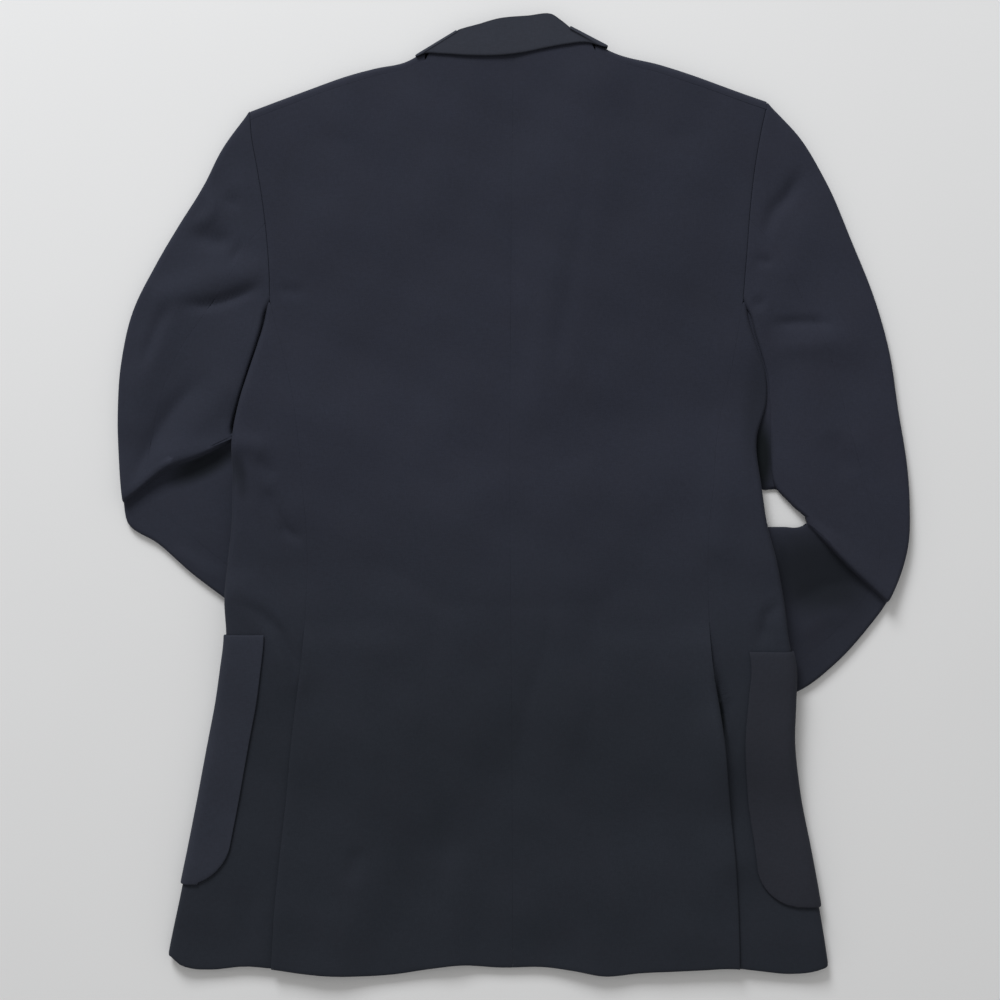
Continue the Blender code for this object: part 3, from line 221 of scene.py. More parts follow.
# The sleeves, cut by cut from armhole to cuff: both edges, the upper face's height over the surface
# at the inner edge and beyond it, and how far across from the inner edge the hind seam lies
Cut = namedtuple("Cut", "inner_x inner_y outer_x outer_y inner_height height seam")
SLEEVES = {
    LEFT: named(Cut, (
        (-202.0, 161.0, -218.0, 316.0, 8.0, 8.0, 0.40),
        (-205.2, 151.0, -239.8, 285.5, 8.0, 8.4, 0.41),
        (-207.9, 138.5, -256.2, 253.6, 8.0, 8.4, 0.43),
        (-212.6, 122.0, -275.6, 222.7, 8.0, 8.2, 0.46),
        (-218.8, 103.2, -297.6, 184.5, 8.0, 8.2, 0.50),
        (-223.7, 87.0, -314.0, 151.0, 8.0, 8.4, 0.55),
        (-227.8, 73.0, -323.2, 111.0, 8.0, 8.8, 0.61),
        (-231.0, 62.0, -326.3, 64.0, 7.6, 9.4, 0.68),
        (-232.4, 54.0, -325.1, 26.0, 8.4, 9.8, 0.74),
        (-230.6, 47.4, -322.0, -5.4, 9.0, 9.8, 0.80),
        (-223.0, 44.6, -318.6, -23.2, 5.4, 5.4, 0.82),
        (-209.0, 46.4, -293.6, -40.4, 5.4, 5.4, 0.83),
        (-185.4, 44.8, -265.4, -65.2, 5.4, 5.4, 0.84),
        (-157.4, 31.6, -237.1, -86.7, 5.4, 5.4, 0.85),
        (-118.0, 2.9, -189.5, -123.7, 5.4, 5.4, 0.86),
        (-63.7, -41.5, -136.9, -163.2, 5.4, 5.4, 0.87),
        (-8.6, -94.9, -84.3, -200.2, 5.4, 5.4, 0.88),
    )),
    RIGHT: named(Cut, (
        (190.6, 161.0, 210.6, 323.4, 8.0, 8.0, 0.40),
        (195.6, 148.0, 237.2, 293.0, 8.0, 8.4, 0.41),
        (199.2, 133.6, 259.6, 254.4, 8.0, 8.4, 0.43),
        (204.3, 117.0, 278.2, 210.8, 8.0, 8.2, 0.46),
        (209.4, 99.1, 295.3, 168.8, 8.0, 8.2, 0.50),
        (211.7, 76.0, 309.8, 119.3, 8.0, 8.4, 0.55),
        (212.0, 51.0, 317.7, 67.8, 8.0, 8.6, 0.60),
        (212.2, 28.0, 324.3, 26.7, 8.0, 9.0, 0.65),
        (215.4, 8.0, 326.7, -8.6, 7.6, 9.4, 0.70),
        (229.7, -8.8, 325.2, -44.0, 7.6, 9.8, 0.76),
        (242.4, -23.4, 309.0, -88.0, 8.4, 9.8, 0.82),
        (235.5, -26.9, 292.6, -110.4, 5.4, 5.4, 0.83),
        (224.0, -26.7, 267.0, -138.6, 5.4, 5.4, 0.84),
        (207.2, -26.7, 235.5, -162.3, 5.4, 5.4, 0.85),
        (182.1, -26.7, 198.5, -172.2, 5.4, 5.4, 0.86),
        (145.1, -27.1, 154.9, -173.9, 5.4, 5.4, 0.86),
        (108.1, -28.4, 112.2, -171.4, 5.4, 5.4, 0.87),
        (69.5, -30.0, 71.9, -168.1, 5.4, 5.4, 0.88),
    )),
}
ELBOW_CUT = {LEFT: 9, RIGHT: 10}
SLEEVE_MIDDLE_DIP = 1.0
INNER_EDGE_SHARE = 0.35
PUFF_EDGE_SHARE = 0.25
HEAD_BLEND = 60.0
HEAD_BLEND_ROWS = 2.0
HEAD_DROP = 8.0
SLEEVE_EDGE_ROUNDING = 2.0

# The elbow's fold, where the upper arm's cloth steps down to the forearm: how far each row lies
# past the fold and how much of the step it has gone down
Step = namedtuple("Step", "run fallen")
ELBOW_STEPS = named(Step, ((-7.0, 0.0), (-1.8, 0.0), (-0.75, 0.08), (0.0, 0.3), (0.6, 0.7), (1.4, 0.92),
                           (2.6, 1.0), (7.0, 1.0)))
INNER_STEP_SHARE = 0.6

# Patch pockets: top and bottom, the strip that shows on the upper side, the whole width
Pocket = namedtuple("Pocket", "top bottom strip_top strip_bottom width corner")
POCKETS = {
    LEFT: Pocket(-115.0, -320.0, 33.0, 34.0, 172.0, 30.0),
    RIGHT: Pocket(-129.0, -339.0, 36.0, 47.0, 172.0, 30.0),
}

# The collar from its left front end round the back neck to its right front end. It faces down (-1)
# at its ends, turns over the sides of the neck (0) and faces up (1) across the back. The fall runs
# from the leaf edge to the fold, and the stand from the neck seam to the fold
Section = namedtuple("Section", "facing fold_x fold_y leaf_x leaf_y seam_x seam_y")
COLLAR = named(Section, (
    (-1, -69.5, 311.5, -97.5, 285.2, -74.2, 313.0),
    (-1, -68.0, 332.0, -112.0, 308.0, -82.6, 331.0),
    (-1, -60.0, 354.0, -102.0, 338.0, -80.0, 347.0),
    (0, -46.4, 380.6, -80.0, 360.2, -72.0, 364.0),
    (1, -45.4, 381.6, -73.0, 362.6, -66.0, 365.4),
    (1, -41.6, 383.0, -60.0, 362.3, -55.5, 366.4),
    (1, -29.0, 386.4, -36.0, 360.9, -36.0, 368.4),
    (1, -11.0, 391.4, -12.0, 361.0, -12.0, 369.6),
    (1, 12.0, 393.4, 9.0, 363.4, 10.0, 371.6),
    (1, 30.5, 394.8, 28.0, 367.2, 29.0, 373.0),
    (1, 38.6, 390.0, 43.0, 370.0, 42.5, 374.4),
    (1, 45.6, 384.4, 62.0, 371.4, 58.0, 374.6),
    (0, 46.4, 383.8, 77.0, 367.8, 69.5, 371.4),
    (-1, 57.0, 360.0, 98.0, 347.0, 75.0, 354.0),
    (-1, 66.0, 338.0, 107.0, 317.0, 79.6, 336.0),
    (-1, 66.5, 313.5, 94.5, 287.2, 71.4, 315.0),
))
COLLAR_TURNS = (90.0, 60.0, 30.0, 0.0, -30.0, -60.0, -90.0)
COLLAR_BULGE = {"collar_fall": 1.3, "collar_stand": -0.7}
FOLD_INSET = {"collar_fall": 0.0, "collar_stand": 1.6}

# The lapels, from the top button up to the gorge: the break line and the outer edge
Lapel = namedtuple("Lapel", "break_x break_y edge_x edge_y")
LAPELS = {
    LEFT: named(Lapel, (
        (14.5, -24.0, 9.0, -24.0),
        (4.4, 16.0, -22.0, 22.0),
        (-6.0, 57.0, -50.0, 64.0),
        (-19.0, 109.0, -80.0, 116.0),
        (-33.0, 163.0, -106.0, 166.0),
        (-46.0, 216.0, -124.0, 206.0),
        (-58.0, 263.0, -132.5, 236.0),
        (-69.5, 310.3, -133.0, 250.8),
    )),
    RIGHT: named(Lapel, (
        (6.0, 50.0, 11.0, 50.0),
        (13.0, 78.0, 34.0, 84.0),
        (24.0, 124.0, 68.0, 130.0),
        (36.0, 170.0, 96.0, 172.0),
        (48.0, 218.0, 118.0, 210.0),
        (58.0, 264.0, 129.5, 240.0),
        (66.5, 312.3, 130.0, 252.8),
    )),
}

# Sharper creases of the upper side: a path, the half width and the height, below zero for a trough.
# Each fades in and out over this share of its length
CREASE_FADE = 0.35
CREASES = named(Fold, (
    ("left sleeve, under the armhole ridge",
         ((-204, 173), (-222, 166.5), (-239, 160), (-255, 156), (-277, 156)), 4.5, -3.8),
    ("left sleeve, outer trough", ((-282, 160), (-293, 139), (-299, 123), (-306, 104)), 5.5, -2.6),
    ("left sleeve, small nick", ((-223, 208), (-233, 191)), 2.6, -1.5),
    ("left sleeve, crown ridge", ((-252, 256), (-248, 236), (-250, 228), (-266, 220)), 5.0, 2.6),
    ("left sleeve, crown hollow", ((-237, 244), (-226, 239)), 4.5, -2.2),
    ("left sleeve, hollow below it", ((-264, 214), (-249, 209), (-233, 209)), 6.5, -3.0),
    ("left sleeve, valley to the elbow",
         ((-256, 98), (-279, 74), (-290, 57), (-306, 26), (-320, -2)), 7.0, -2.8),
    ("left sleeve, edge of that valley", ((-256, 97), (-278, 72), (-289, 56), (-305, 25)), 2.2, -0.7),
    ("right sleeve, crown trough", ((238, 266), (225, 245), (213, 234), (205, 212)), 6.0, -3.6),
    ("right sleeve, short crease", ((195, 194), (214, 191)), 3.2, -2.2),
    ("right sleeve, by the armhole", ((196, 158), (206, 157)), 5.0, -1.8),
    ("right sleeve, crease across the upper arm", ((212, 141), (240, 142), (264, 141)), 4.5, -2.4),
    ("right sleeve, ridge below it", ((214, 122), (244, 124), (272, 127)), 9.0, 1.5),
    ("right sleeve, hollow at the elbow", ((262, 45), (277, 20)), 12.0, -2.4),
    ("back, by the left armhole", ((-194, 169), (-174, 166)), 5.0, -1.4),
    ("left waist, bulge", ((-228, 45), (-202, 37)), 7.0, 2.2),
    ("left waist, trough", ((-230, 34), (-221, 10), (-217, -9)), 5.0, -2.8),
    ("left waist, dimple", ((-210, 28), (-198, 16)), 6.0, -1.8),
    ("left waist, deeper dimple", ((-201, 3), (-196, -12)), 4.5, -1.8),
    ("left waist, first nick", ((-196, -9), (-185, -32)), 3.4, -2.2),
    ("left waist, second nick", ((-192, -28), (-175, -36)), 4.0, -1.8),
    ("left hip, arc", ((-227, -85), (-208, -96), (-192, -112), (-180, -136), (-177, -161)), 5.0, -3.2),
    ("right hip, above the pocket", ((216, -87), (207, -100), (202.6, -125)), 3.8, -3.2),
    ("right vent, deep mouth", ((165.4, -138), (171.2, -181), (178.2, -222)), 2.6, -5.5),
    ("left waist, beside the slot", ((-224, 36), (-223, 8)), 5.0, -2.2),
    ("right side, sloping away", ((214, 150), (214, 10)), 20.0, -4.6),
    ("back, drag line right of the middle", ((70, 310), (52, 200), (30, 70)), 8.0, -1.0),
    ("back, ridge beside it", ((38, 300), (30, 180), (8, 40)), 10.0, 0.9),
    ("back, drag line under the left shoulder", ((-92, 250), (-84, 130)), 8.0, -0.6),
    ("lower back, left of the middle", ((-120, -150), (-90, -260)), 10.0, -0.9),
    ("lower back, right of the middle", ((58, -250), (80, -335)), 8.0, -1.0),
    ("hem, hollow left of the middle", ((-60, -251), (-52, -325)), 9.0, -1.8),
    ("hem, far left hollow", ((-134, -317), (-128, -292)), 7.0, -1.8),
    ("hem, by the left side", ((-221, -317), (-219, -387)), 5.0, -2.2),
))
# Creases of the forearms that show, below the elbows' folds
FOREARM_CREASES = named(Fold, (
    ("left, wide hollow at the inner end", ((-212, 34), (-242, 27)), 13.0, -1.6),
    ("left, hollow under the fold", ((-216, 40), (-248, 28), (-280, 13), (-304, -2)), 7.0, -1.6),
    ("left, along the lower edge", ((-262, -40), (-238, -62)), 7.0, -1.0),
    ("left, ridge on the lower edge", ((-281, -43), (-262, -57), (-243, -73)), 5.0, 1.2),
    ("right, sloping down from the fold", ((292, -66), (262, -68), (238, -74)), 15.0, -1.4),
    ("right, across from the elbow", ((285, -72), (258, -76), (236, -87), (224, -98)), 5.0, -1.6),
    ("right, ridge below it", ((280, -98), (256, -100), (234, -116)), 9.0, 1.8),
    ("right, along the body's edge",
         ((211, -30), (221, -52), (224, -76), (228, -101), (235, -132), (236, -158)), 4.5, -2.0),
))
# Where the elbow's fold bows out over the forearm: a place across it, its reach across, its reach
# up and down the arm, and how far
Bow = namedtuple("Bow", "across reach rows distance")
ELBOW_BOWS = {LEFT: Bow(0.62, 0.55, 34.0, 7.0), RIGHT: Bow(0.5, 0.6, 30.0, -2.0)}
# How much the cloth puffs up at the elbow's fold, and how far up the arm that reaches
Puff = namedtuple("Puff", "height reach")
ELBOW_PUFFS = {LEFT: Puff(3.4, 26.0), RIGHT: Puff(3.2, 16.0)}

# How far a sleeve's underside reaches in below the body beside it, and where that ends
Flare = namedtuple("Flare", "reach end_y end_reach")
FLARES = {LEFT: Flare(4.5, 46.0, 14.0), RIGHT: Flare(15.0, 4.0, 6.0)}
UNDERARM_REACH = 14.0
FLARE_SHARE = 0.12
FLARE_TOP = 0.36
FLARE_SOFTNESS = 0.3

# How a vent's edge stands off the panel below: its level, length, reach into the back and height
Mouth = namedtuple("Mouth", "y length reach height")
VENT_MOUTHS = {LEFT: Mouth(-330.0, 60.0, 12.0, 0.8), RIGHT: Mouth(-204.0, 56.0, 14.0, 6.4)}

# Slow unevenness of the laid cloth: wave length, heading in degrees, height and phase
Sway = namedtuple("Sway", "length heading height phase")
SWAYS = named(Sway, (
    (118.0, 22.0, 0.50, 0.3),
    (83.0, 101.0, 0.36, 1.9),
    (57.0, -34.0, 0.24, 4.1),
    (38.0, 66.0, 0.12, 2.6),
))

# Rows and columns of points
BODY_ROWS = 160
ARMHOLE_ROWS = 46
SHOULDER_COLUMNS = 36
NECK_COLUMNS = 22
PANEL_COLUMNS = 10
NEAR_COLUMNS = 4
ROLL_COLUMNS = 10
SLEEVE_ROW_STEP = 4.5
STEP_MARGIN = 1.0
DENSE_PLACES = 61
UPPER_PLACES = np.linspace(0.0, 1.0, 19)
LOWER_PLACES = np.linspace(1.0, 0.0, 15)
ROLL_ANGLES = np.linspace(60.0, -60.0, 7)
POCKET_ROWS = 46
POCKET_UNDER_COLUMNS = 26
POCKET_CORNER_ANGLES = np.arange(0.0, 80.0, 10.0)
LAPEL_ROWS = 60
LAPEL_COLUMNS = 14
COLLAR_COLUMNS = {"collar_fall": 13, "collar_stand": 9}
COLLAR_SPANS = 6
# How far from the body's side the finer columns start, at most and as a share of the panel
INNER_ROLL = 42.0
INNER_ROLL_SHARE = 0.62
NEAR_ROLL = 20.0
NEAR_ROLL_SHARE = 0.4
TURN_SHARE = 0.25
LEAST_COLUMN = 2.0

# A button from its dished face to its back: the share of its radius and of its height, ring by ring
BUTTON_SPOKES = 48
BUTTON_PROFILE = ((0.30, 0.30), (0.62, 0.26), (0.70, 0.10), (0.80, 0.0), (0.90, 0.04), (0.97, 0.22),
                  (1.0, 0.5), (0.97, 0.80), (0.88, 0.96), (0.70, 1.0))
BUTTON_CENTRE_LEVELS = (0.30, 1.0)

# ---------------------------------------------------------------------------- curves and covers

def smooth(t):
    """A soft step from 0 to 1 as t goes from 0 to 1."""
    t = np.clip(t, 0.0, 1.0)
    return t * t * (3.0 - 2.0 * t)


def fall(distance, reach):
    """1 up to a distance of 0, then down to 0 at the given reach."""
    return 1.0 - smooth(distance / reach)


def bell(distance, reach):
    """1 at a distance of 0, and down towards 0 on both sides of it."""
    return np.exp(-(distance / reach) ** 2)


def lerp(a, b, t):
    return a + (b - a) * t


def unit(vectors):
    return vectors / np.maximum(np.linalg.norm(vectors, axis=-1, keepdims=True), 1e-9)


def pair(x, y):
    return np.stack(np.broadcast_arrays(np.asarray(x, float), np.asarray(y, float)), axis=-1)


def spline(knots, values, at):
    """A smooth curve through values given at rising knots, read at one or many places."""
    knots = np.asarray(knots, float)
    values = np.asarray(values, float)
    at = np.clip(at, knots[0], knots[-1])
    slopes = np.gradient(values, knots)
    i = np.clip(np.searchsorted(knots, at, side="right") - 1, 0, len(knots) - 2)
    span = knots[i + 1] - knots[i]
    t = (at - knots[i]) / span
    lead = (1 + 2 * t) * (1 - t) ** 2 * values[i] + t * t * (3 - 2 * t) * values[i + 1]
    return lead + span * t * (1 - t) * ((1 - t) * slopes[i] - t * slopes[i + 1])


def column(table, name):
    return [getattr(row, name) for row in table]


def read(table, knots, values, at):
    """A smooth curve through one column of a table, over another of its columns."""
    return spline(column(table, knots), column(table, values), at)


def along(points, at):
    """A smooth curve through pairs of a rising place and its value."""
    return spline(*zip(*points), at)


def there_and_back(rows, there, back):
    """The closed outline along one edge of a table's rows and back along another."""
    ends = [(getattr(row, there + "_x"), getattr(row, there + "_y")) for row in rows]
    return ends + [(getattr(row, back + "_x"), getattr(row, back + "_y")) for row in reversed(rows)]


def distance_to_path(path, x, y, closed=False):
    """Distance from each (x, y) to a path of straight stretches."""
    path = np.asarray(path, float)
    ends = np.roll(path, -1, axis=0)
    stretches = len(path) if closed else len(path) - 1
    nearest = np.full(np.shape(x), np.inf)
    for a, b in zip(path[:stretches], ends[:stretches]):
        run = b - a
        t = np.clip(((x - a[0]) * run[0] + (y - a[1]) * run[1]) / (run @ run), 0.0, 1.0)
        nearest = np.minimum(nearest, np.hypot(x - a[0] - t * run[0], y - a[1] - t * run[1]))
    return nearest


def distance_outside(outline, x, y):
    """Distance from each (x, y) to a closed outline, and 0 inside it."""
    outline = np.asarray(outline, float)
    inside = np.zeros(np.shape(x), bool)
    for a, b in zip(outline, np.roll(outline, -1, axis=0)):
        spans = (a[1] > y) != (b[1] > y)
        rise = b[1] - a[1] if b[1] != a[1] else 1.0
        inside ^= spans & (x < a[0] + (y - a[1]) / rise * (b[0] - a[0]))
    return np.where(inside, 0.0, distance_to_path(outline, x, y, closed=True))


# ---------------------------------------------------------------------------- the laid heights

def edge_x(side, y):
    """The body's outermost x at a level."""
    return read(BODY, "y", NAMES[side] + "_edge", y)


def seam_x(side, y):
    """The x of the side back seam, or of the vent's edge, at a level."""
    return read(BODY, "y", NAMES[side] + "_seam", y)


def front_edge_x(side, y):
    return read(FRONTS, "y", NAMES[side] + "_edge", y)


def front_seam_x(side, y):
    return edge_x(side, y) - side * read(FRONTS, "y", "seam_inset", y)


def shoulder_y(side, x):
    """The shoulder outline's y, read from the neck outwards."""
    name = NAMES[side]
    return spline(np.abs(column(SHOULDERS, name + "_x")), column(SHOULDERS, name + "_y"), abs(x))


def armhole_x(side, y):
    return read(ARMHOLES, NAMES[side] + "_y", NAMES[side] + "_x", y)


def crown_y(side):
    return SLEEVES[side][0].outer_y


def pocket_outline(side):
    """The part of a patch pocket that lies underneath, out past the body's edge."""
    cut = POCKETS[side]
    hidden = cut.width - cut.strip_top
    past = -POCKET_COVER_PAST
    corners = ((cut.top, hidden), (cut.bottom, hidden), (cut.bottom, past), (cut.top, past))
    return [(edge_x(side, y) - side * reach, y) for y, reach in corners]


FOREARM_HEIGHT = SLEEVES[LEFT][-1].height
# What lies under the fronts: its outline, its height and how far out its cover runs down
UNDER_LAYERS = []
for hand in NAMES:
    forearm = SLEEVES[hand][ELBOW_CUT[hand] + 1:]
    collar_end = [row for row in COLLAR if row.facing <= 0 and row.fold_x * hand > 0]
    UNDER_LAYERS += [
        (there_and_back(forearm, "inner", "outer"), FOREARM_HEIGHT + LAYER_GAP, LAYER_FALL),
        (pocket_outline(hand), POCKET_WALL + LAYER_GAP, PATCH_FALL),
        (there_and_back(LAPELS[hand], "break", "edge"), LAPEL_WALL + LAYER_GAP, PATCH_FALL),
        (there_and_back(collar_end, "fold", "leaf"), COLLAR_WALL + LAYER_GAP, PATCH_FALL),
    ]


def lift(x, y):
    """How far the fronts' outer face is raised over the surface by what lies under it."""
    arms = np.zeros(np.shape(x))
    patches = np.zeros(np.shape(x))
    for outline, height, reach in UNDER_LAYERS:
        cover = height * fall(distance_outside(outline, x, y) - GRID_MARGIN, reach)
        if height > FOREARM_HEIGHT:
            arms = np.maximum(arms, cover)
        else:
            patches = np.maximum(patches, cover)
    for centre_x, centre_y in BUTTON_CENTRES:
        away = np.hypot(x - centre_x, y - centre_y) - BUTTON_RADIUS - GRID_MARGIN
        patches = np.maximum(patches, (BUTTON_HEIGHT + LAYER_GAP) * fall(away, LAYER_FALL))
    return arms + patches


def overlap_rise(x, y):
    """The right front's rise where it lies on the left front."""
    return (BODY_WALL + LAP_GAP) * fall(x - front_edge_x(LEFT, y) - GRID_MARGIN, LAYER_FALL)


def back_rise(x, y):
    """The back's rise over the lapped strip of both fronts."""
    return overlap_rise(x, y) * fall(front_edge_x(RIGHT, y) - x - GRID_MARGIN, LAYER_FALL)


def crease(fold, x, y):
    """The height of a crease at each place: rounded across, and fading out at both of its ends."""
    path = np.asarray(fold.path, float)
    lead = unit(path[-1] - path[0])
    run = (x - path[0][0]) * lead[0] + (y - path[0][1]) * lead[1]
    length = (path[-1] - path[0]) @ lead
    fade = CREASE_FADE * length + fold.width
    ends = smooth((run + fold.width) / fade) * smooth((length + fold.width - run) / fade)
    return fold.height * bell(distance_to_path(path, x, y), fold.width) * ends


def folds(x, y):
    """The soft folds, the sharper creases and the slow sway of the upper side."""
    total = sum(fold.height * bell(distance_to_path(fold.path, x, y), fold.width) for fold in FOLDS)
    for fold in CREASES:
        total = total + crease(fold, x, y)
    for sway in SWAYS:
        heading = math.radians(sway.heading)
        run = (x * math.cos(heading) + y * math.sin(heading)) / sway.length
        total = total + sway.height * np.sin(2.0 * math.pi * run + sway.phase)
    return total


def air(x, y):
    """The hollow between the fronts and the back."""
    to_edge = np.minimum(x - edge_x(LEFT, y), edge_x(RIGHT, y) - x)
    below_arm = lerp(ARM_AIR_SHARE, 1.0, fall(y - WAIST_AIR_Y, WAIST_AIR_REACH))
    at_side = SIDE_ROLL_AIR * bell(np.maximum(to_edge, 0.0), SIDE_ROLL_REACH) * below_arm
    above_arm = smooth((y - UNDERARM_Y) / ARM_AIR_REACH)
    below_shoulder = np.maximum(np.where(x < 0, shoulder_y(LEFT, x), shoulder_y(RIGHT, x)) - y, 0.0)
    beside_neck = smooth((np.abs(x) - NECK_SIDE_X) / SHOULDER_REACH)
    shoulder = SHOULDER_AIR * beside_neck * bell(below_shoulder, SHOULDER_REACH)
    return RESTING_AIR + lerp(at_side, ARM_AIR_SHARE * SIDE_ROLL_AIR, above_arm) + shoulder


def top_middle(x, y):
    """Middle height of the upper side's wall, before it turns down at an edge."""
    return lift(x, y) + back_rise(x, y) + 1.5 * BODY_WALL + air(x, y) + folds(x, y)


def under_middle(x, y):
    """Middle height of the underside's wall."""
    return lift(x, y) + 0.5 * BODY_WALL


def vent_rise(side, x, y):
    """The back's rise over the side panel's underlap at a vent."""
    inward = seam_x(side, y) - x
    across = np.abs(inward) - VENT_UNDERLAP - GRID_MARGIN
    above = y - VENT_TOP_Y - GRID_MARGIN
    flap = (BODY_WALL + LAYER_GAP) * fall(across, VENT_FALL_ACROSS) * fall(above, VENT_FALL_ABOVE)
    mouth = VENT_MOUTHS[side]
    return flap + mouth.height * bell(inward, mouth.reach) * bell(y - mouth.y, mouth.length)


def side_roll(side, y):
    """Radius, centre x and centre height of the roll at the body's side."""
    radius = np.full(np.shape(y), FIRST_ROLL_RADIUS)
    for _ in range(ROLL_ROUNDS):
        centre_x = edge_x(side, y) - side * (0.5 * BODY_WALL + radius)
        low = under_middle(centre_x, y)
        high = top_middle(centre_x, y)
        radius = 0.5 * (high - low)
    return radius, centre_x, 0.5 * (high + low)


def round_side(side, arc, y):
    """The wall's middle at an arc length from the body's outermost line: + above it, - underneath."""
    radius, centre_x, centre_z = side_roll(side, y)
    angle = np.clip(arc / radius, -0.5 * math.pi, 0.5 * math.pi)
    beyond = np.maximum(np.abs(arc) - 0.5 * math.pi * radius, 0.0)
    x = centre_x + side * radius * np.cos(angle) - side * beyond
    flat = np.where(arc > 0, top_middle(x, y), under_middle(x, y))
    z = np.where(beyond > 0, flat, centre_z + radius * np.sin(angle))
    return np.stack([x, np.broadcast_to(y, x.shape), z], axis=-1)


def round_side_normals(side, arc, y):
    """Unit normals of that surface, facing out of the garment."""
    along_arc = round_side(side, arc + ARC_PROBE, y) - round_side(side, arc - ARC_PROBE, y)
    along_y = round_side(side, arc, y + LEVEL_PROBE) - round_side(side, arc, y - LEVEL_PROBE)
    return unit(np.cross(along_arc, along_y)) * -side


def arc_at(side, x, y):
    """The arc length of a place on the upper side."""
    radius, centre_x, _ = side_roll(side, y)
    inward = side * (centre_x - x)
    turned = radius * np.arccos(np.clip(-inward / radius, 0.0, 1.0))
    return np.where(inward > 0, 0.5 * math.pi * radius + inward, turned)


def top_height(side, x, y):
    """Middle height of the upper side, turned down where it reaches the body's side."""
    radius, centre_x, centre_z = side_roll(side, np.minimum(y, UNDERARM_Y))
    past = np.clip(side * (x - centre_x) / radius, 0.0, STEEPEST_TURN)
    turned = centre_z + radius * np.sqrt(1.0 - past ** 2)
    return np.where((past > 0) & (y < UNDERARM_Y), turned, top_middle(x, y))


def patch(inner, outer, south, north, across, up):
    """Points between four edges, each edge a function of a 0 to 1 run."""
    u = across[None, :, None]
    v = up[:, None, None]
    low, high = south(across)[None], north(across)[None]
    near, far = inner(up)[:, None], outer(up)[:, None]
    corners = ((1 - u) * (1 - v) * low[:, :1] + u * (1 - v) * low[:, -1:]
               + (1 - u) * v * high[:, :1] + u * v * high[:, -1:])
    return (1 - v) * low + v * high + (1 - u) * near + u * far - corners


# ---------------------------------------------------------------------------- the body's panels

def hem_y(side):
    """The hem's level at the side back seam, where the rows of every body panel start."""
    return float(along(HEM, seam_x(side, BODY[0].y)))


def levels(side, top):
    """Row heights shared along the side seams: up to the underarm, then on to the given top."""
    below = np.linspace(hem_y(side), UNDERARM_Y, BODY_ROWS)
    return np.concatenate([below, np.linspace(UNDERARM_Y, top, ARMHOLE_ROWS + 1)[1:]])


def shoulder_roll(side, x):
    """Where the shoulder's roll starts, and its radius."""
    inside = shoulder_y(side, x) - SHOULDER_PROBE
    radius = 0.5 * (top_middle(x, inside) - under_middle(x, inside))
    return shoulder_y(side, x) - radius - 0.5 * BODY_WALL, radius


def shoulder_ends(side):
    """The shoulder seam's x at the neck and at the armhole."""
    return front_edge_x(side, FRONTS[-1].y), armhole_x(side, crown_y(side) - SHOULDER_TIP_DROP)


def front_armhole_x(side, y):
    """The front's armhole, cut in further than the back's."""
    rise = np.clip((y - UNDERARM_Y) / (crown_y(side) - FRONT_CROWN_DROP - UNDERARM_Y), 0.0, 1.0)
    start = np.abs(armhole_x(side, UNDERARM_Y) - front_seam_x(side, UNDERARM_Y))
    scoop = start * (1.0 - rise) + FRONT_ARMHOLE_SCOOP * np.sin(math.pi * rise)
    return armhole_x(side, y) - side * scoop


def run_up(rows):
    """Each row's share of the way from the first row to the last."""
    return (rows - rows[0]) / (rows[-1] - rows[0])


def outer_edge(side, rows, below, above):
    """A panel's outer edge: one line up to the underarm and another past it."""
    def at(v):
        y = lerp(rows[0], rows[-1], v)
        x = np.where(y <= UNDERARM_Y, below(side, y), above(side, y))
        return pair(x - side * 0.5 * SEAM_GAP, y)

    return at


def back(side):
    neck_x, tip_x = shoulder_ends(side)

    def seam_line(x):
        return shoulder_roll(side, x)[0] - SHOULDER_TURN - SEAM_GAP

    rows = levels(side, float(seam_line(tip_x)))
    up = run_up(rows)
    across = np.linspace(0.0, 1.0, NECK_COLUMNS + SHOULDER_COLUMNS - 1)
    corner = across[NECK_COLUMNS - 1]
    outer = outer_edge(side, rows, seam_x, armhole_x)

    def centre(v):
        y = lerp(along(HEM, 0.0), along(NECK_SEAM, 0.0), v)
        return pair(along(CENTRE_SEAM, y) + side * 0.5 * SEAM_GAP, y)

    def hem(u):
        x = lerp(centre(up[:1])[0, 0], outer(up[:1])[0, 0], u)
        return pair(x, along(HEM, x))

    def top(u):
        in_neck = np.clip(u / corner, 0.0, 1.0)
        in_shoulder = np.clip((u - corner) / (1.0 - corner), 0.0, 1.0)
        x = np.where(u < corner, lerp(centre(up[-1:])[0, 0], neck_x, in_neck),
                     lerp(neck_x, outer(up[-1:])[0, 0], in_shoulder))
        meet = seam_line(neck_x) - along(NECK_SEAM, neck_x)
        neck = along(NECK_SEAM, x) + meet * in_neck ** NECK_CORNER_SHARPNESS
        return pair(x, np.where(u <= corner, neck, seam_line(x)))

    x, y = np.moveaxis(patch(centre, outer, hem, top, across, up), -1, 0)
    return np.stack([x, y, top_height(side, x, y) + vent_rise(side, x, y)], axis=-1)


def side_columns(side, y, far):
    """Arc lengths down the side roll from a far one on the upper side to the underside."""
    quarter = 0.5 * math.pi * side_roll(side, y)[0]
    near = np.minimum(NEAR_ROLL, NEAR_ROLL_SHARE * far)
    turn = np.minimum(quarter, TURN_SHARE * far)
    arcs = [lerp(near, turn, t) for t in np.linspace(0.0, 1.0, NEAR_COLUMNS)]
    return arcs + [lerp(turn, -quarter, t) for t in np.linspace(0.0, 1.0, ROLL_COLUMNS)[1:]], quarter


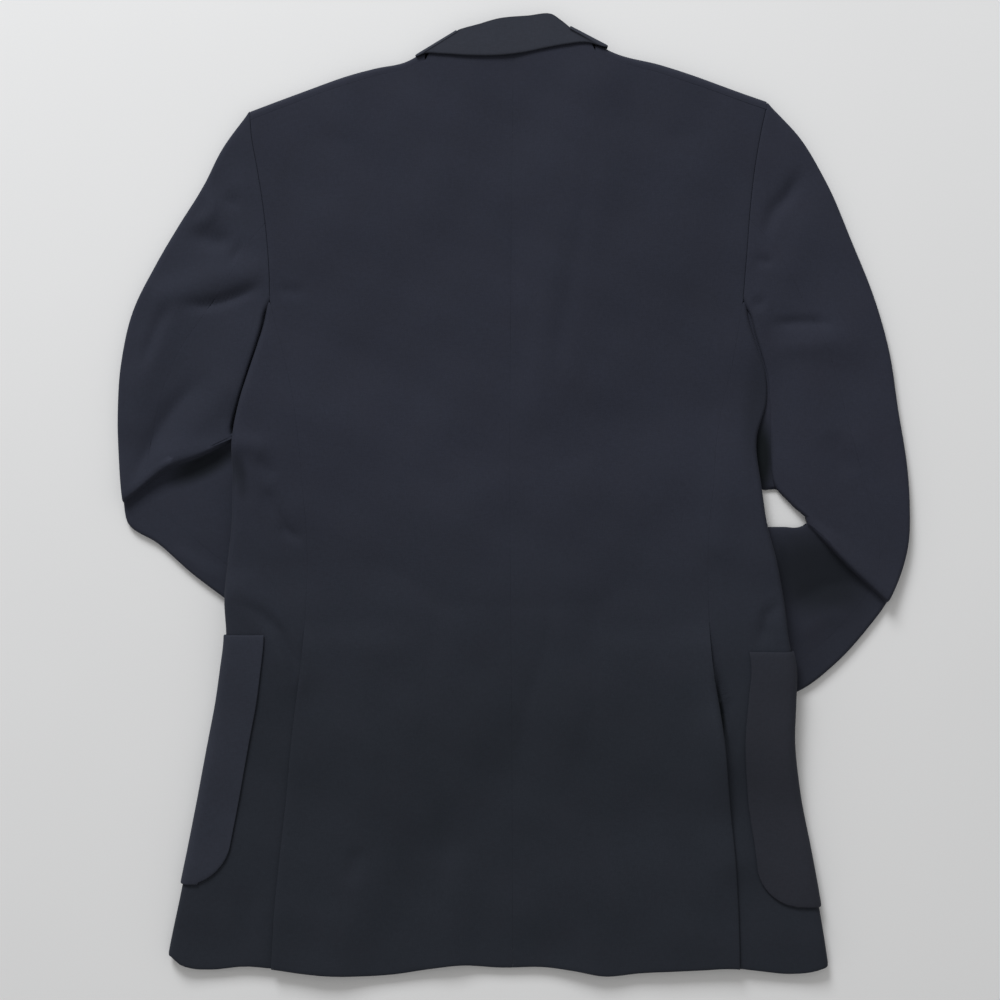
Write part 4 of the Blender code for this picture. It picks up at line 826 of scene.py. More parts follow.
def side_panel(side):
    """The side body from the back seam round the side to the front seam, and its normals."""
    y = np.linspace(hem_y(side), UNDERARM_Y, BODY_ROWS)
    y[-1] -= SIDE_TOP_DROP
    below_vent = smooth((VENT_TOP_Y - y) / VENT_TOP_SLANT)
    top_arc = arc_at(side, seam_x(side, y), y) - 0.5 * SEAM_GAP + (VENT_UNDERLAP + SEAM_GAP) * below_vent
    rounding, quarter = side_columns(side, y, top_arc)
    reach = np.abs(front_seam_x(side, y) - edge_x(side, y)) - 0.5 * BODY_WALL
    bottom_arc = -(quarter + reach - side_roll(side, y)[0]) + 0.5 * SEAM_GAP
    inner = np.maximum(np.minimum(INNER_ROLL, INNER_ROLL_SHARE * top_arc), rounding[0] + LEAST_COLUMN)
    arcs = [lerp(top_arc, inner, t) for t in np.linspace(0.0, 1.0, PANEL_COLUMNS)]
    arcs += [lerp(inner, rounding[0], t) for t in np.linspace(0.0, 1.0, NEAR_COLUMNS + 2)[1:-1]] + rounding
    arcs += [lerp(-quarter, bottom_arc, t) for t in np.linspace(0.0, 1.0, PANEL_COLUMNS)[1:]]
    arcs = np.stack(arcs, axis=1)
    level = np.repeat(y[:, None], arcs.shape[1], axis=1)
    level[-1] -= UNDERARM_NOTCH * bell(arcs[-1], UNDERARM_NOTCH_REACH)
    middle = round_side(side, arcs, level)
    normal = round_side_normals(side, arcs, level)
    wavy = along(HEM, np.clip(middle[0, :, 0], HEM[0][0], HEM[-1][0]))
    middle[..., 1] += fall(y - y[0], HEM_WAVE_REACH)[:, None] * (wavy - y[0])[None, :]
    return middle, normal


def front(side):
    """A front, from the hem up the underside and over the shoulder to its seam."""
    neck_x, tip_x = shoulder_ends(side)
    rows = levels(side, float(shoulder_roll(side, tip_x)[0]))
    up = run_up(rows)
    hem_corner = FRONTS[1].y
    neck_y = float(shoulder_roll(side, neck_x)[0])
    outer = outer_edge(side, rows, front_seam_x, front_armhole_x)

    def inner(v):
        y = lerp(hem_corner, neck_y, v)
        return pair(front_edge_x(side, y), y)

    def hem(u):
        x = lerp(inner(up[:1])[0, 0], outer(up[:1])[0, 0], u)
        return pair(x, lerp(hem_corner, rows[0], smooth(2.0 * u)))

    def top(u):
        x = lerp(inner(up[-1:])[0, 0], outer(up[-1:])[0, 0], u)
        return pair(x, shoulder_roll(side, x)[0])

    across = np.linspace(0.0, 1.0, SHOULDER_COLUMNS)
    x, y = np.moveaxis(patch(inner, outer, hem, top, across, up), -1, 0)
    rise = overlap_rise(x, y) if side > 0 else 0.0
    flat = np.stack([x, y, under_middle(x, y) + rise], axis=-1)
    end_x, end_y, low_z = flat[-1].T
    radius = 0.5 * (top_middle(end_x, end_y) - low_z)
    turns = []
    for turned in np.radians(SHOULDER_ANGLES):
        turns.append((end_x, end_y + radius * math.cos(turned), low_z + radius * (1.0 + math.sin(turned))))
    last_y = end_y - SHOULDER_TURN
    turns.append((end_x, last_y, top_middle(end_x, last_y)))
    return np.concatenate([flat, np.moveaxis(turns, 1, -1)], axis=0)


# ---------------------------------------------------------------------------- sleeves

def edge_normals(points, sign):
    """Level unit vectors square to a path, each the mean of its two neighbouring stretches'."""
    runs = unit(np.diff(points, axis=0))
    square = sign * np.stack([runs[:, 1], -runs[:, 0]], axis=-1)
    return unit(np.concatenate([square[:1], square]) + np.concatenate([square, square[-1:]]))


def sleeve_rows(side):
    """Every row of a sleeve: edge points, heights, seam share, how far it has stepped down, its flare."""
    values = {name: np.array(column(SLEEVES[side], name)) for name in Cut._fields}
    runs = {}
    for edge in ("inner", "outer"):
        lengths = np.hypot(np.diff(values[edge + "_x"]), np.diff(values[edge + "_y"]))
        runs[edge] = np.concatenate([[0.0], np.cumsum(lengths)])
    knots = np.arange(len(SLEEVES[side]))
    elbow = ELBOW_CUT[side]
    counts = np.maximum(2, np.rint(np.diff(runs["outer"]) / SLEEVE_ROW_STEP)).astype(int)
    places = [number + np.linspace(0.0, 1.0, count, endpoint=False) for number, count in enumerate(counts)]
    places = np.concatenate(places + [knots[-1:]])
    past_elbow = np.interp(places, knots, runs["outer"]) - runs["outer"][elbow]
    above = places[past_elbow < -ELBOW_STEPS[-1].run - STEP_MARGIN]
    below = places[past_elbow > ELBOW_STEPS[-1].run + STEP_MARGIN]
    place = np.concatenate([above, np.full(len(ELBOW_STEPS), elbow), below])
    fallen = np.concatenate([0.0 * above, column(ELBOW_STEPS, "fallen"), 0.0 * below + 1.0])
    step = np.concatenate([0.0 * above, column(ELBOW_STEPS, "run"), 0.0 * below])
    at = {"outer": np.interp(place, knots, runs["outer"]) + step,
          "inner": np.interp(place, knots, runs["inner"]) + INNER_STEP_SHARE * step}
    table = {"fallen": fallen[:, None], "past_elbow": (at["outer"] - runs["outer"][elbow])[:, None]}
    for edge, run in at.items():
        table[edge] = pair(*(spline(runs[edge], values[edge + axis], run) for axis in ("_x", "_y")))
    for name in ("inner_height", "height", "seam"):
        table[name] = np.interp(place, knots, values[name])[:, None]
    inner_y = table["inner"][:, 1:]
    flare = FLARES[side]
    below_arm = smooth((UNDERARM_Y - inner_y) / UNDERARM_REACH)
    above_end = smooth((inner_y - flare.end_y) / flare.end_reach)
    table["flare"] = flare.reach * below_arm * above_end * (1.0 - table["fallen"])
    return table


def sleeve(side):
    """Middle points of a whole sleeve, ring by ring from armhole to cuff, and its forearm seam's column."""
    table = sleeve_rows(side)
    inner, outer, fallen, past_elbow = (table[name] for name in ("inner", "outer", "fallen", "past_elbow"))
    half = 0.5 * SLEEVE_WALL
    along_head = unit(outer[0] - inner[0])
    blend = np.exp(-np.arange(len(inner)) / HEAD_BLEND_ROWS)[:, None]
    inner_way = unit(edge_normals(inner, side) * (1 - blend) - along_head * blend)
    outer_way = unit(edge_normals(outer, -side) * (1 - blend) + along_head * blend)
    start = inner - inner_way * (half + SLEEVE_EDGE_ROUNDING)
    end = outer - outer_way * (half + SLEEVE_EDGE_ROUNDING)
    near_head = fall(np.linalg.norm(outer - outer[0], axis=1), HEAD_BLEND)[:, None] ** 2
    elbow_bow = ELBOW_BOWS[side]
    puff = ELBOW_PUFFS[side]

    def spots(w):
        """Plan points at shares of the way across, before the armhole's bow."""
        plan = start[:, None] + (end - start)[:, None] * w[None, :, None]
        bowed = elbow_bow.distance * bell(past_elbow, elbow_bow.rows)
        plan[..., 1] += bowed * bell(w[None, :] - elbow_bow.across, 0.5 * elbow_bow.reach)
        return plan

    def bow(part, w):
        """How far the armhole stands away from the straight line between its ends."""
        line = spots(w)[0]
        edge = armhole_x if part == "upper" else front_armhole_x
        at = edge(side, np.clip(line[:, 1], UNDERARM_Y, crown_y(side))) + side * ARMHOLE_GAP - line[:, 0]
        return pair(at[None] * near_head, 0.0)

    def height(w):
        """Middle height of the upper wall."""
        x, y = np.moveaxis(spots(w) + bow("upper", w), -1, 0)
        share = w[None, :]
        before = lerp(table["inner_height"], table["height"], smooth(share / INNER_EDGE_SHARE))
        own = lerp(before, FOREARM_HEIGHT, fallen) - half
        own = own - SLEEVE_MIDDLE_DIP * (1.0 - (2.0 * share - 1.0) ** 2)
        forearm = sum(crease(fold, x, y) for fold in FOREARM_CREASES)
        own = own + folds(x, y) * (1.0 - fallen) + forearm * fallen
        near_fold = bell(past_elbow, puff.reach) * (1.0 - fallen)
        own = own + puff.height * near_fold * smooth(share / PUFF_EDGE_SHARE)
        at_y = np.clip(y, UNDERARM_Y, crown_y(side) - HEAD_DROP)
        return lerp(own, top_middle(armhole_x(side, at_y), at_y), near_head)

    dense = np.linspace(0.0, 1.0, DENSE_PLACES)
    surface = np.concatenate([spots(dense) + bow("upper", dense), height(dense)[..., None]], axis=-1)

    def upper(at):
        """The upper wall at each row's own shares, read between the dense ones."""
        rows = [[np.interp(shares, dense, line) for line in points.T] for shares, points in zip(at, surface)]
        return np.swapaxes(rows, 1, 2)

    def lower(at):
        into = table["flare"][..., None] * smooth(1.0 - at / FLARE_SHARE)[None, :, None]
        plan = spots(at) + bow("lower", at) + inner_way[:, None] * into
        return np.concatenate([plan, np.full(plan.shape[:2] + (1,), half)], axis=-1)

    def roll(centre, way, w, angles):
        """The wall's turn from one face to the other, at the inner edge (w 0) or the outer edge (w 1)."""
        turned = np.radians(angles)[None, :, None]
        raised = 0.5 * (1.0 + np.sin(turned))
        share = np.array([w])
        bows = lerp(bow("lower", share), bow("upper", share), raised)
        plan = centre[:, None] + way[:, None] * SLEEVE_EDGE_ROUNDING * np.cos(turned) + bows
        if w == 0.0:
            into = table["flare"][..., None] * smooth((FLARE_TOP - raised) / FLARE_SOFTNESS)
            plan = plan + way[:, None] * into
        lifted = (height(share)[:, :, None] - half) * raised * np.ones_like(plan[..., :1])
        return np.concatenate([plan, half + lifted], axis=-1)

    over = lerp(table["seam"], 1.0, UPPER_PLACES[None, :])
    under = table["seam"] * UPPER_PLACES[None, :-1]
    strips = (upper(over), roll(end, outer_way, 1.0, ROLL_ANGLES), lower(LOWER_PLACES),
              roll(start, inner_way, 0.0, -ROLL_ANGLES), upper(under))
    forearm_seam = sum(strip.shape[1] for strip in strips[:3]) - 2
    return np.concatenate(strips, axis=1), forearm_seam


def split_sleeve(side):
    """The top sleeve and the under sleeve, parted at the hind seam and the forearm seam."""
    ring, forearm_seam = sleeve(side)
    normal = normals(ring, ring=True)
    parts = {"top_sleeve": list(range(forearm_seam + 1)),
             "under_sleeve": list(range(forearm_seam, ring.shape[1])) + [0]}
    strips = {}
    for name, order in parts.items():
        strip = ring[:, order].copy()
        for last, next_in in ((0, 1), (-1, -2)):
            strip[:, last] += unit(strip[:, next_in] - strip[:, last]) * 0.5 * SEAM_GAP
        strips[name] = (strip, normal[:, order])
    return strips


# ---------------------------------------------------------------------------- what lies on the panels

def pocket(side):
    """A patch pocket that wraps the body's side, on the panels' own surface moved out."""
    cut = POCKETS[side]
    up = np.linspace(0.0, 1.0, POCKET_ROWS)
    y = lerp(cut.bottom, cut.top, up)
    start = lerp(cut.strip_bottom, cut.strip_top, up)
    end = start - cut.width
    angles = np.radians(POCKET_CORNER_ANGLES)
    into_corner = cut.corner * (1.0 - np.cos(angles))
    rounding, quarter = side_columns(side, y, start)
    arcs = [start - into for into in into_corner]
    arcs += [arc for arc in rounding if np.all(arc < start - into_corner[-1])]
    arcs += [lerp(-quarter, end + cut.corner, t) for t in np.linspace(0.0, 1.0, POCKET_UNDER_COLUMNS)[1:]]
    arcs += [end + into for into in into_corner[::-1]]
    arcs = np.stack(arcs, axis=1)
    corner_rise = cut.corner * (1.0 - np.sin(angles))
    straight = np.zeros(arcs.shape[1] - 2 * len(angles))
    rise = np.concatenate([corner_rise, straight, corner_rise[::-1]])
    level = lerp(cut.bottom + rise[None, :], cut.top, up[:, None])
    normal = round_side_normals(side, arcs, level)
    out = 0.5 * BODY_WALL + LAYER_GAP + 0.5 * POCKET_WALL
    return round_side(side, arcs, level) + normal * out, normal


def lapel(side):
    """A lapel turned back on the outer face of its front, which lies underneath."""
    knots = np.linspace(0.0, 1.0, len(LAPELS[side]))
    v = np.linspace(0.0, 1.0, LAPEL_ROWS)
    line = {name: spline(knots, column(LAPELS[side], name), v)[:, None] for name in Lapel._fields}
    u = np.linspace(0.0, 1.0, LAPEL_COLUMNS)[None, :]
    x = lerp(line["break_x"], line["edge_x"], u)
    y = lerp(line["break_y"], line["edge_y"], u)
    rise = overlap_rise(x, y) if side > 0 else 0.0
    down = 0.5 * BODY_WALL + LAYER_GAP + 0.5 * LAPEL_WALL
    return np.stack([x, y, under_middle(x, y) + rise - down], axis=-1)


def collar_sheet(part):
    """The fall or the stand: one sheet that turns over both sides of the open neck, and its normals."""
    half = 0.5 * COLLAR_WALL
    is_fall = part == "collar_fall"
    places = np.linspace(0.0, 1.0, COLLAR_COLUMNS[part])
    rows = []
    for row in COLLAR:
        side = LEFT if row.fold_x < 0 else RIGHT
        fold = np.array([row.fold_x, row.fold_y])
        edge = np.array([row.leaf_x, row.leaf_y] if is_fall else [row.seam_x, row.seam_y])
        high = float(top_middle(np.float64(row.seam_x), np.float64(row.seam_y)))
        high += 0.5 * BODY_WALL + LAYER_GAP + half if is_fall else 0.0
        low = half if is_fall else half + COLLAR_WALL + LAYER_GAP
        to_fold = unit(fold - edge)
        near = fold - to_fold * FOLD_INSET[part]
        turns = COLLAR_TURNS[::side] if row.facing == 0 else (90.0 * row.facing,)
        for turned in np.radians(turns):
            square = side * np.array([to_fold[1], -to_fold[0]]) * math.cos(turned)
            level = 0.5 * (high + low) + 0.5 * (high - low) * math.sin(turned)
            across = lerp(edge, near, places[:, None]) + COLLAR_BULGE[part] * square
            rows.append([(*spot, level, *square, math.sin(turned)) for spot in across])
    rows = np.array(rows)
    steps = np.linalg.norm(np.diff(rows[:, [0, -1], :3], axis=0), axis=-1).sum(axis=1)
    run = np.concatenate([[0.0], np.cumsum(steps)])
    finer = [np.linspace(a, b, COLLAR_SPANS, endpoint=False) for a, b in zip(run, run[1:])]
    finer = np.concatenate(finer + [run[-1:]])
    lines = [[spline(run, values, finer) for values in points] for points in np.moveaxis(rows, 0, -1)]
    rows = np.moveaxis(lines, -1, 0)
    rows[..., 2] = np.maximum(rows[..., 2], half)
    return rows[..., :3], unit(rows[..., 3:])


def button(centre):
    """Points and faces of a turned button that hangs on the left front's outer face."""
    x, y = centre
    slope_x = lift(x + BUTTON_RADIUS, y) - lift(x - BUTTON_RADIUS, y)
    slope_y = lift(x, y + BUTTON_RADIUS) - lift(x, y - BUTTON_RADIUS)
    seat = lift(x, y) - LAYER_GAP - BUTTON_HEIGHT
    turns = 2.0 * math.pi * np.arange(BUTTON_SPOKES) / BUTTON_SPOKES
    share, level = np.array(BUTTON_PROFILE).T[..., None]
    east, north = share * np.cos(turns), share * np.sin(turns)
    z = seat + 0.5 * (slope_x * east + slope_y * north) + level * BUTTON_HEIGHT
    rings = np.stack([x + BUTTON_RADIUS * east, y + BUTTON_RADIUS * north, z], axis=-1)
    index = np.arange(share.size * BUTTON_SPOKES).reshape(-1, BUTTON_SPOKES)
    ahead = np.roll(index, -1, axis=1)
    faces = np.stack([index[:-1], ahead[:-1], ahead[1:], index[1:]], axis=-1).reshape(-1, 4).tolist()
    centres = [(x, y, seat + at * BUTTON_HEIGHT) for at in BUTTON_CENTRE_LEVELS]
    last = index.size - BUTTON_SPOKES
    for a, b in zip(index[0].tolist(), ahead[0].tolist()):
        faces += [(index.size, b, a), (last + a, last + b, index.size + 1)]
    return np.concatenate([rings.reshape(-1, 3), centres]), faces


# ---------------------------------------------------------------------------- finishes

class Value:
    """A number that varies over a surface: arithmetic on it adds the Math nodes."""

    def __init__(self, finish, socket):
        self.finish = finish
        self.socket = socket

    def math(self, operation, other):
        return self.finish.value("ShaderNodeMath", {"operation": operation}, {0: self, 1: other})

    def __add__(self, other):
        return self.math("ADD", other)

    def __mul__(self, other):
        return self.math("MULTIPLY", other)


class Finish:
    """A material made of nodes around one Principled shader."""

    def __init__(self, name):
        self.material = bpy.data.materials.new(name)
        self.material.use_nodes = True
        self.tree = self.material.node_tree
        self.shader = self.tree.nodes["Principled BSDF"]

    def value(self, kind, settings, inputs, output=0):
        """A node of the given kind, with its settings and inputs, as the value that it gives."""
        made = self.tree.nodes.new(kind)
        for name, setting in settings.items():
            setattr(made, name, setting)
        for socket, value in inputs.items():
            self.feed(made.inputs[socket], value)
        return Value(self, made.outputs[output])

    def feed(self, socket, value):
        if isinstance(value, Value):
            self.tree.links.new(value.socket, socket)
        else:
            socket.default_value = value

    def place(self, turn=0.0, stretch=(1.0, 1.0, 1.0), kind="POINT", middle=(0.0, 0.0, 0.0)):
        """Places on the piece, turned and stretched along the cloth's grain."""
        at = self.value("ShaderNodeTexCoord", {}, {}, "Object")
        return self.value("ShaderNodeMapping", {"vector_type": kind},
                          {"Vector": at, "Location": middle, "Rotation": (0.0, 0.0, math.radians(turn)),
                           "Scale": stretch})

    def noise(self, at, scale, detail=2.0, rough=0.5):
        return self.value("ShaderNodeTexNoise", {}, {"Vector": at, "Scale": scale, "Detail": detail,
                                                     "Roughness": rough})

    def mix(self, share, first, second):
        """A colour between two others."""
        return self.value("ShaderNodeMix", {"data_type": "RGBA"}, {0: share, 6: first, 7: second}, 2)

    def ramp(self, value, low, high, top=1.0):
        """A soft rise from 0 where the value is low to the top where it is high."""
        return self.value("ShaderNodeMapRange", {"interpolation_type": "SMOOTHSTEP"},
                          {"Value": value, "From Min": low, "From Max": high, "To Max": top})

    def bump(self, height, strength, distance):
        return self.value("ShaderNodeBump", {}, {"Height": height, "Strength": strength,
                                                 "Distance": distance})

    def oval(self, shade):
        """How much of a shade reaches each place: its depth at the middle, nought past its reach."""
        near = self.place(shade.turn, [METRES * v for v in shade.reach], "TEXTURE",
                          [METRES * v for v in shade.middle])
        away = self.value("ShaderNodeVectorMath", {"operation": "LENGTH"}, {0: near}, "Value")
        return self.ramp(away, 1.0, SHADE_CORE, shade.depth)

    def set(self, **sockets):
        for name, value in sockets.items():
            self.feed(self.shader.inputs[name.replace("_", " ")], value)


# The cloth looks darker and less blue from the waist down, where less of the window reaches it
HEM_SHADE_Y = -0.215
CHEST_SHADE_Y = 0.060

# Where cloth lies in the deep shade of a fold above it: an oval's middle, reach, turn and depth
Shade = namedtuple("Shade", "middle reach turn depth")
BODY_SHADES = (
    Shade((171.0, -184.0, 9.0), (4.4, 46.0, 10.0), 10.0, 0.90),
    Shade((-226.0, 18.0, 9.0), (11.0, 30.0, 14.0), 12.0, 0.42),
    Shade((202.0, 72.0, 9.0), (18.0, 78.0, 14.0), -6.0, 0.22),
)
LEFT_SLEEVE_SHADES = (Shade((-256.0, 25.0, 3.0), (40.0, 15.0, 5.5), 27.0, 0.72),)
RIGHT_SLEEVE_SHADES = (
    Shade((205.0, 30.0, 2.0), (12.0, 44.0, 7.5), 0.0, 0.96),
    Shade((250.0, -64.0, 3.5), (66.0, 50.0, 6.5), -25.0, 0.66),
)
SHADE_CORE = 0.3
DEEP_SHADE = (0.0050, 0.0068, 0.0082, 1.0)

# The wool of each cut: its colour at the collar and, under painted shade, at the hem, a warmer tint, its
# grain and its painted shades
Wool = namedtuple("Wool", "upper lower warm grain shades")
# Each cut is a lit or shaded copy of one navy wool: the collar and the pockets, the left one most, are
# painted lighter than the body
WOOLS = {
    "body": Wool((0.0227, 0.0256, 0.0392), (0.0186, 0.0226, 0.0302), (0.024, 0.024, 0.033), 0.0, BODY_SHADES),
    "left_sleeve": Wool((0.0240, 0.0272, 0.0410), (0.0200, 0.0230, 0.0330), (0.025, 0.026, 0.036), -24.0,
                        LEFT_SLEEVE_SHADES),
    "right_sleeve": Wool((0.0240, 0.0270, 0.0410), (0.0190, 0.0220, 0.0310), (0.026, 0.025, 0.036), 20.0,
                         RIGHT_SLEEVE_SHADES),
    "collar": Wool((0.0305, 0.0345, 0.0470), (0.0260, 0.0290, 0.0370), (0.033, 0.033, 0.042), 45.0, ()),
    "left_pocket": Wool((0.0262, 0.0300, 0.0442), (0.0268, 0.0306, 0.0436), (0.029, 0.030, 0.040), 0.0, ()),
    "right_pocket": Wool((0.0232, 0.0262, 0.0380), (0.0226, 0.0248, 0.0330), (0.026, 0.026, 0.034), 0.0, ()),
}


def worsted(name, wool):
    """Fine plain-weave wool: crossed yarns, a soft heather, a slow drift of painted shade from collar to hem
    and painted shade in deep folds.
    """
    finish = Finish(name)
    height = finish.value("ShaderNodeSeparateXYZ", {}, {"Vector": finish.place()}, "Y")
    warp = finish.noise(finish.place(turn=wool.grain, stretch=(1.0, 0.22, 1.0)), scale=1150.0, rough=0.6)
    weft = finish.noise(finish.place(turn=wool.grain, stretch=(0.22, 1.0, 1.0)), scale=1000.0, rough=0.6)
    drift = finish.noise(finish.place(), scale=9.0, detail=3.0, rough=0.55)
    patches = finish.noise(finish.place(), scale=34.0, detail=3.0, rough=0.6)
    yarn = warp * 0.5 + weft * 0.5
    heather = yarn * 0.72 + drift * 0.28
    lit_and_shaded_tones = [finish.mix(heather, *((*(share * c for c in colour), 1.0) for share in (0.5, 1.5)))
             for colour in (wool.lower, wool.upper)]
    # Painted shade: the colour darkens from the lit collar colour to the shaded hem colour
    colour = finish.mix(finish.ramp(height, HEM_SHADE_Y, CHEST_SHADE_Y), *lit_and_shaded_tones)
    colour = finish.mix(patches * 0.4, colour, (*wool.warm, 1.0))
    # Painted shade: a dark oval wherever the cloth lies in deep shade
    for shade in wool.shades:
        colour = finish.mix(finish.oval(shade), colour, DEEP_SHADE)
    weave = finish.bump(warp + weft, strength=0.35, distance=0.0001)
    finish.set(Base_Color=colour, Roughness=yarn * 0.14 + 0.78, Normal=weave, Specular_IOR_Level=0.12,
               Sheen_Weight=0.035, Sheen_Roughness=0.5, Sheen_Tint=(0.66, 0.72, 0.90, 1.0))
    return finish.material


def resin(name, colour):
    """Polished horn-like resin with slow streaks."""
    finish = Finish(name)
    grain = finish.place(turn=35.0, stretch=(1.0, 0.2, 1.0))
    streaks = finish.noise(grain, scale=260.0, detail=4.0, rough=0.6)
    fine = finish.noise(finish.place(), scale=1500.0)
    finish.set(Base_Color=finish.mix(streaks, (*colour, 1.0), (0.06, 0.055, 0.06, 1.0)),
               Roughness=fine * 0.12 + 0.22, Normal=finish.bump(fine, strength=0.1, distance=0.00005))
    return finish.material


def paper(name):
    """Pale paper with a faint tooth."""
    finish = Finish(name)
    tooth = finish.noise(finish.place(), scale=900.0, detail=3.0, rough=0.6)
    cloudy = finish.noise(finish.place(), scale=4.0)
    shade = finish.mix(tooth * 0.4 + cloudy * 0.3, (0.76, 0.76, 0.76, 1.0), (0.86, 0.86, 0.86, 1.0))
    finish.set(Base_Color=shade, Roughness=0.9, Specular_IOR_Level=0.2)
    return finish.material


# ---------------------------------------------------------------------------- shells of cloth

EDGE_TURN = 0.9
# The share of a wall's thickness left at its very edge: a free turned edge, a sewn armhole, a pressed seam
FREE_EDGE = 0.5
SEWN_EDGE = 0.72
PRESSED_SEAM = 0.96
# The same in the row next to an edge that keeps nothing
NEXT_ROW = 0.85
SHARPEST_SMOOTH = math.radians(80.0)


def normals(middle, ring=False):
    """Unit normals of a grid of points; a ring closes on itself across its columns."""
    if ring:
        across = np.roll(middle, -1, axis=1) - np.roll(middle, 1, axis=1)
    else:
        across = np.gradient(middle, axis=1)
    return unit(np.cross(np.gradient(middle, axis=0), across))


def with_turned_edge(middle, normal):
    """Both grids with one more row and column just inside each border, where the edge starts to turn."""
    for axis in (0, 1):
        grids = [np.swapaxes(grid, 0, axis) for grid in (middle, normal)]
        steps = np.diff(grids[0], axis=0)[[0, -1]]
        share = np.minimum(0.5, EDGE_TURN / np.maximum(np.linalg.norm(steps, axis=-1, keepdims=True), 1e-6))
        grids = [np.concatenate([grid[:1], lerp(grid[:1], grid[1:2], share[:1]), grid[1:-1],
                                 lerp(grid[-1:], grid[-2:-1], share[1:]), grid[-1:]]) for grid in grids]
        middle, normal = (np.swapaxes(grid, 0, axis) for grid in grids)
    return middle, unit(normal)


def shell(middle, normal, thickness, edges):
    """Points and faces of a closed wall of cloth round a grid, thinner where its edges turn."""
    middle, normal = with_turned_edge(middle, normal)
    rows, columns = middle.shape[:2]
    share = np.ones((rows, columns))
    for grid, levels_at, ends in ((share, middle[..., 1], edges[:2]), (share.T, middle[..., 1].T, edges[2:])):
        for last, next_in, left in zip((0, -1), (1, -2), ends):
            left = left(levels_at[last]) if callable(left) else left
            grid[last] = np.minimum(grid[last], left)
            grid[next_in] = np.minimum(grid[next_in], lerp(NEXT_ROW, 1.0, left))
    half = 0.5 * thickness * normal * share[..., None]
    points = np.concatenate([(middle + half).reshape(-1, 3), (middle - half).reshape(-1, 3)])
    index = np.arange(rows * columns).reshape(rows, columns)
    face = np.stack([index[:-1, :-1], index[:-1, 1:], index[1:, 1:], index[1:, :-1]], axis=-1).reshape(-1, 4)
    border = np.concatenate([index[0, :-1], index[:-1, -1], index[-1, :0:-1], index[:0:-1, 0]])
    following = np.roll(border, -1)
    rim = np.stack([following, border, index.size + border, index.size + following], axis=-1)
    return points, np.concatenate([face, face[:, ::-1] + index.size, rim]).tolist()


def add_piece(name, points, faces, material, slot, node):
    """A piece from points in millimetres, which rides on the body and stands for its solid."""
    mesh = bpy.data.meshes.new(name)
    mesh.from_pydata(((np.asarray(points) + CENTRING) * METRES).tolist(), [], faces)
    work = bmesh.new()
    work.from_mesh(mesh)
    bmesh.ops.recalc_face_normals(work, faces=work.faces)
    work.to_mesh(mesh)
    work.free()
    mesh.shade_smooth()
    mesh.set_sharp_from_angle(angle=SHARPEST_SMOOTH)
    mesh.materials.append(material)
    piece = bpy.data.objects.new(name, mesh)
    bpy.context.collection.objects.link(piece)
    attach(piece, "root")
    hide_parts(node)
    return piece


def back_outer_edge(y):
    """The back's outer edge: turned at the vent, pressed above it and sewn at the armhole."""
    return np.where(y < VENT_TOP_Y, FREE_EDGE, np.where(y > UNDERARM_Y, SEWN_EDGE, PRESSED_SEAM))


# What is left of the wall at each panel's edges: its first and last rows, then its first and last columns
EDGES = {
    "back": (FREE_EDGE, PRESSED_SEAM, PRESSED_SEAM, back_outer_edge),
    "front": (FREE_EDGE, PRESSED_SEAM, FREE_EDGE, PRESSED_SEAM),
    "side": (FREE_EDGE, SEWN_EDGE, PRESSED_SEAM, PRESSED_SEAM),
    "pocket": (FREE_EDGE, FREE_EDGE, FREE_EDGE, FREE_EDGE),
    "lapel": (FREE_EDGE, FREE_EDGE, FREE_EDGE, FREE_EDGE),
    "sleeve": (SEWN_EDGE, FREE_EDGE, PRESSED_SEAM, PRESSED_SEAM),
    "collar": (FREE_EDGE, FREE_EDGE, FREE_EDGE, PRESSED_SEAM),
}

# What each piece was cut to before it was laid: width and length in metres, and its share of them
Cloth = namedtuple("Cloth", "width length share held rests_on")


def add_cloth(part, node, sheet, thickness, material, slot):
    """A piece of cloth with its edges turned or pressed."""
    middle, normal = sheet
    edges = EDGES["sleeve" if "sleeve" in part else part.split("_")[0]]
    piece = add_piece("cloth_" + node, *shell(middle, normal, thickness, edges), material, slot, node)


def make_blazer():
    wool = {name: worsted("navy_worsted_" + name, cut) for name, cut in WOOLS.items()}
    horn = resin("dark_resin", (0.012, 0.014, 0.020))
    for side, name in NAMES.items():
        panels = {"back": back(side), "front": front(side), "side": side_panel(side), "pocket": pocket(side),
                  "lapel": lapel(side), **split_sleeve(side)}
        for part, sheet in panels.items():
            kind = "sleeve" if "sleeve" in part else "pocket" if part == "pocket" else "body"
            thickness = LAPEL_WALL if part == "lapel" else WALLS[kind]
            sheet = sheet if isinstance(sheet, tuple) else (sheet, normals(sheet))
            # Each sleeve and pocket takes its side's own copy of the wool, painted lighter or darker for the
            # light on it
            cloth = wool["body"] if kind == "body" else wool[name + "_" + kind]
            add_cloth(part, part + "_" + name, sheet, thickness, cloth, kind + "_cloth")
    for part in ("collar_fall", "collar_stand"):
        add_cloth(part, part, collar_sheet(part), COLLAR_WALL, wool["collar"], "collar_cloth")
    for node, centre in zip(("button_upper", "button_lower"), BUTTON_CENTRES):
        add_piece("resin_" + node, *button(centre), horn, "button_resin", node)


# ---------------------------------------------------------------------------- the studio

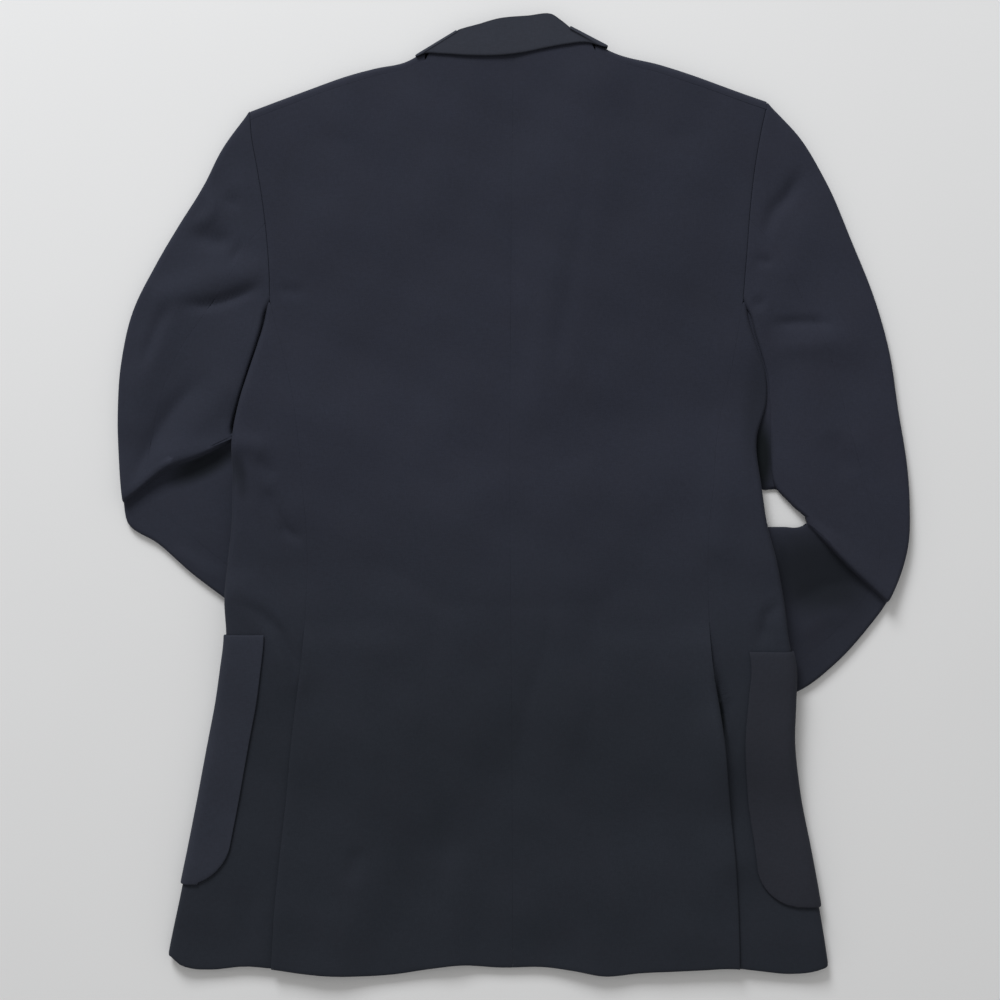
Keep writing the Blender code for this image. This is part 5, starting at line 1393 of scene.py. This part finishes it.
FLOOR_REACH = 4.0
FLOOR_DROP = 0.0003
SENSOR_WIDTH = 36.0
LENS = 65.0
# How much of the floor the photo takes in, at the height of the cloth, and where its middle lies
VIEW_WIDTH = 0.822
CLOTH_HEIGHT = 0.010
VIEW_CENTRE = (-0.0113, -0.0042)
WINDOW_PLACE = (-0.95, 2.80, 1.85)
WINDOW_SIZE = 1.3
WINDOW_ENERGY = 98.0
WINDOW_COLOUR = (0.965, 0.98, 1.0)
ROOM_COLOUR = (1.0, 0.995, 0.985, 1.0)
ROOM_STRENGTH = 0.44


def make_floor():
    mesh = bpy.data.meshes.new("floor")
    corners = ((-1, -1), (1, -1), (1, 1), (-1, 1))
    mesh.from_pydata([(FLOOR_REACH * x, FLOOR_REACH * y, 0.0) for x, y in corners], [], [(0, 1, 2, 3)])
    mesh.materials.append(paper("pale_paper"))
    floor = bpy.data.objects.new("floor", mesh)
    floor.location.z = -FLOOR_DROP
    bpy.context.collection.objects.link(floor)


def make_window():
    lamp = bpy.data.lights.new("window", "AREA")
    lamp.shape = "SQUARE"
    lamp.size = WINDOW_SIZE
    lamp.energy = WINDOW_ENERGY
    lamp.color = WINDOW_COLOUR
    window = bpy.data.objects.new("window", lamp)
    window.location = WINDOW_PLACE
    window.rotation_mode = "QUATERNION"
    window.rotation_quaternion = Vector(WINDOW_PLACE).to_track_quat("Z", "Y")
    bpy.context.collection.objects.link(window)


def make_studio():
    camera = bpy.data.objects.new("camera", bpy.data.cameras.new("camera"))
    camera.data.sensor_width = SENSOR_WIDTH
    camera.data.lens = LENS
    camera.location = (*VIEW_CENTRE, VIEW_WIDTH * LENS / SENSOR_WIDTH + CLOTH_HEIGHT)
    bpy.context.collection.objects.link(camera)
    bpy.context.scene.camera = camera
    world = bpy.data.worlds.new("studio")
    world.use_nodes = True
    room = world.node_tree.nodes["Background"]
    room.inputs["Color"].default_value = ROOM_COLOUR
    room.inputs["Strength"].default_value = ROOM_STRENGTH
    bpy.context.scene.world = world
    bpy.context.scene.view_settings.view_transform = "Standard"
    make_window()


make_studio()
make_floor()
make_blazer()
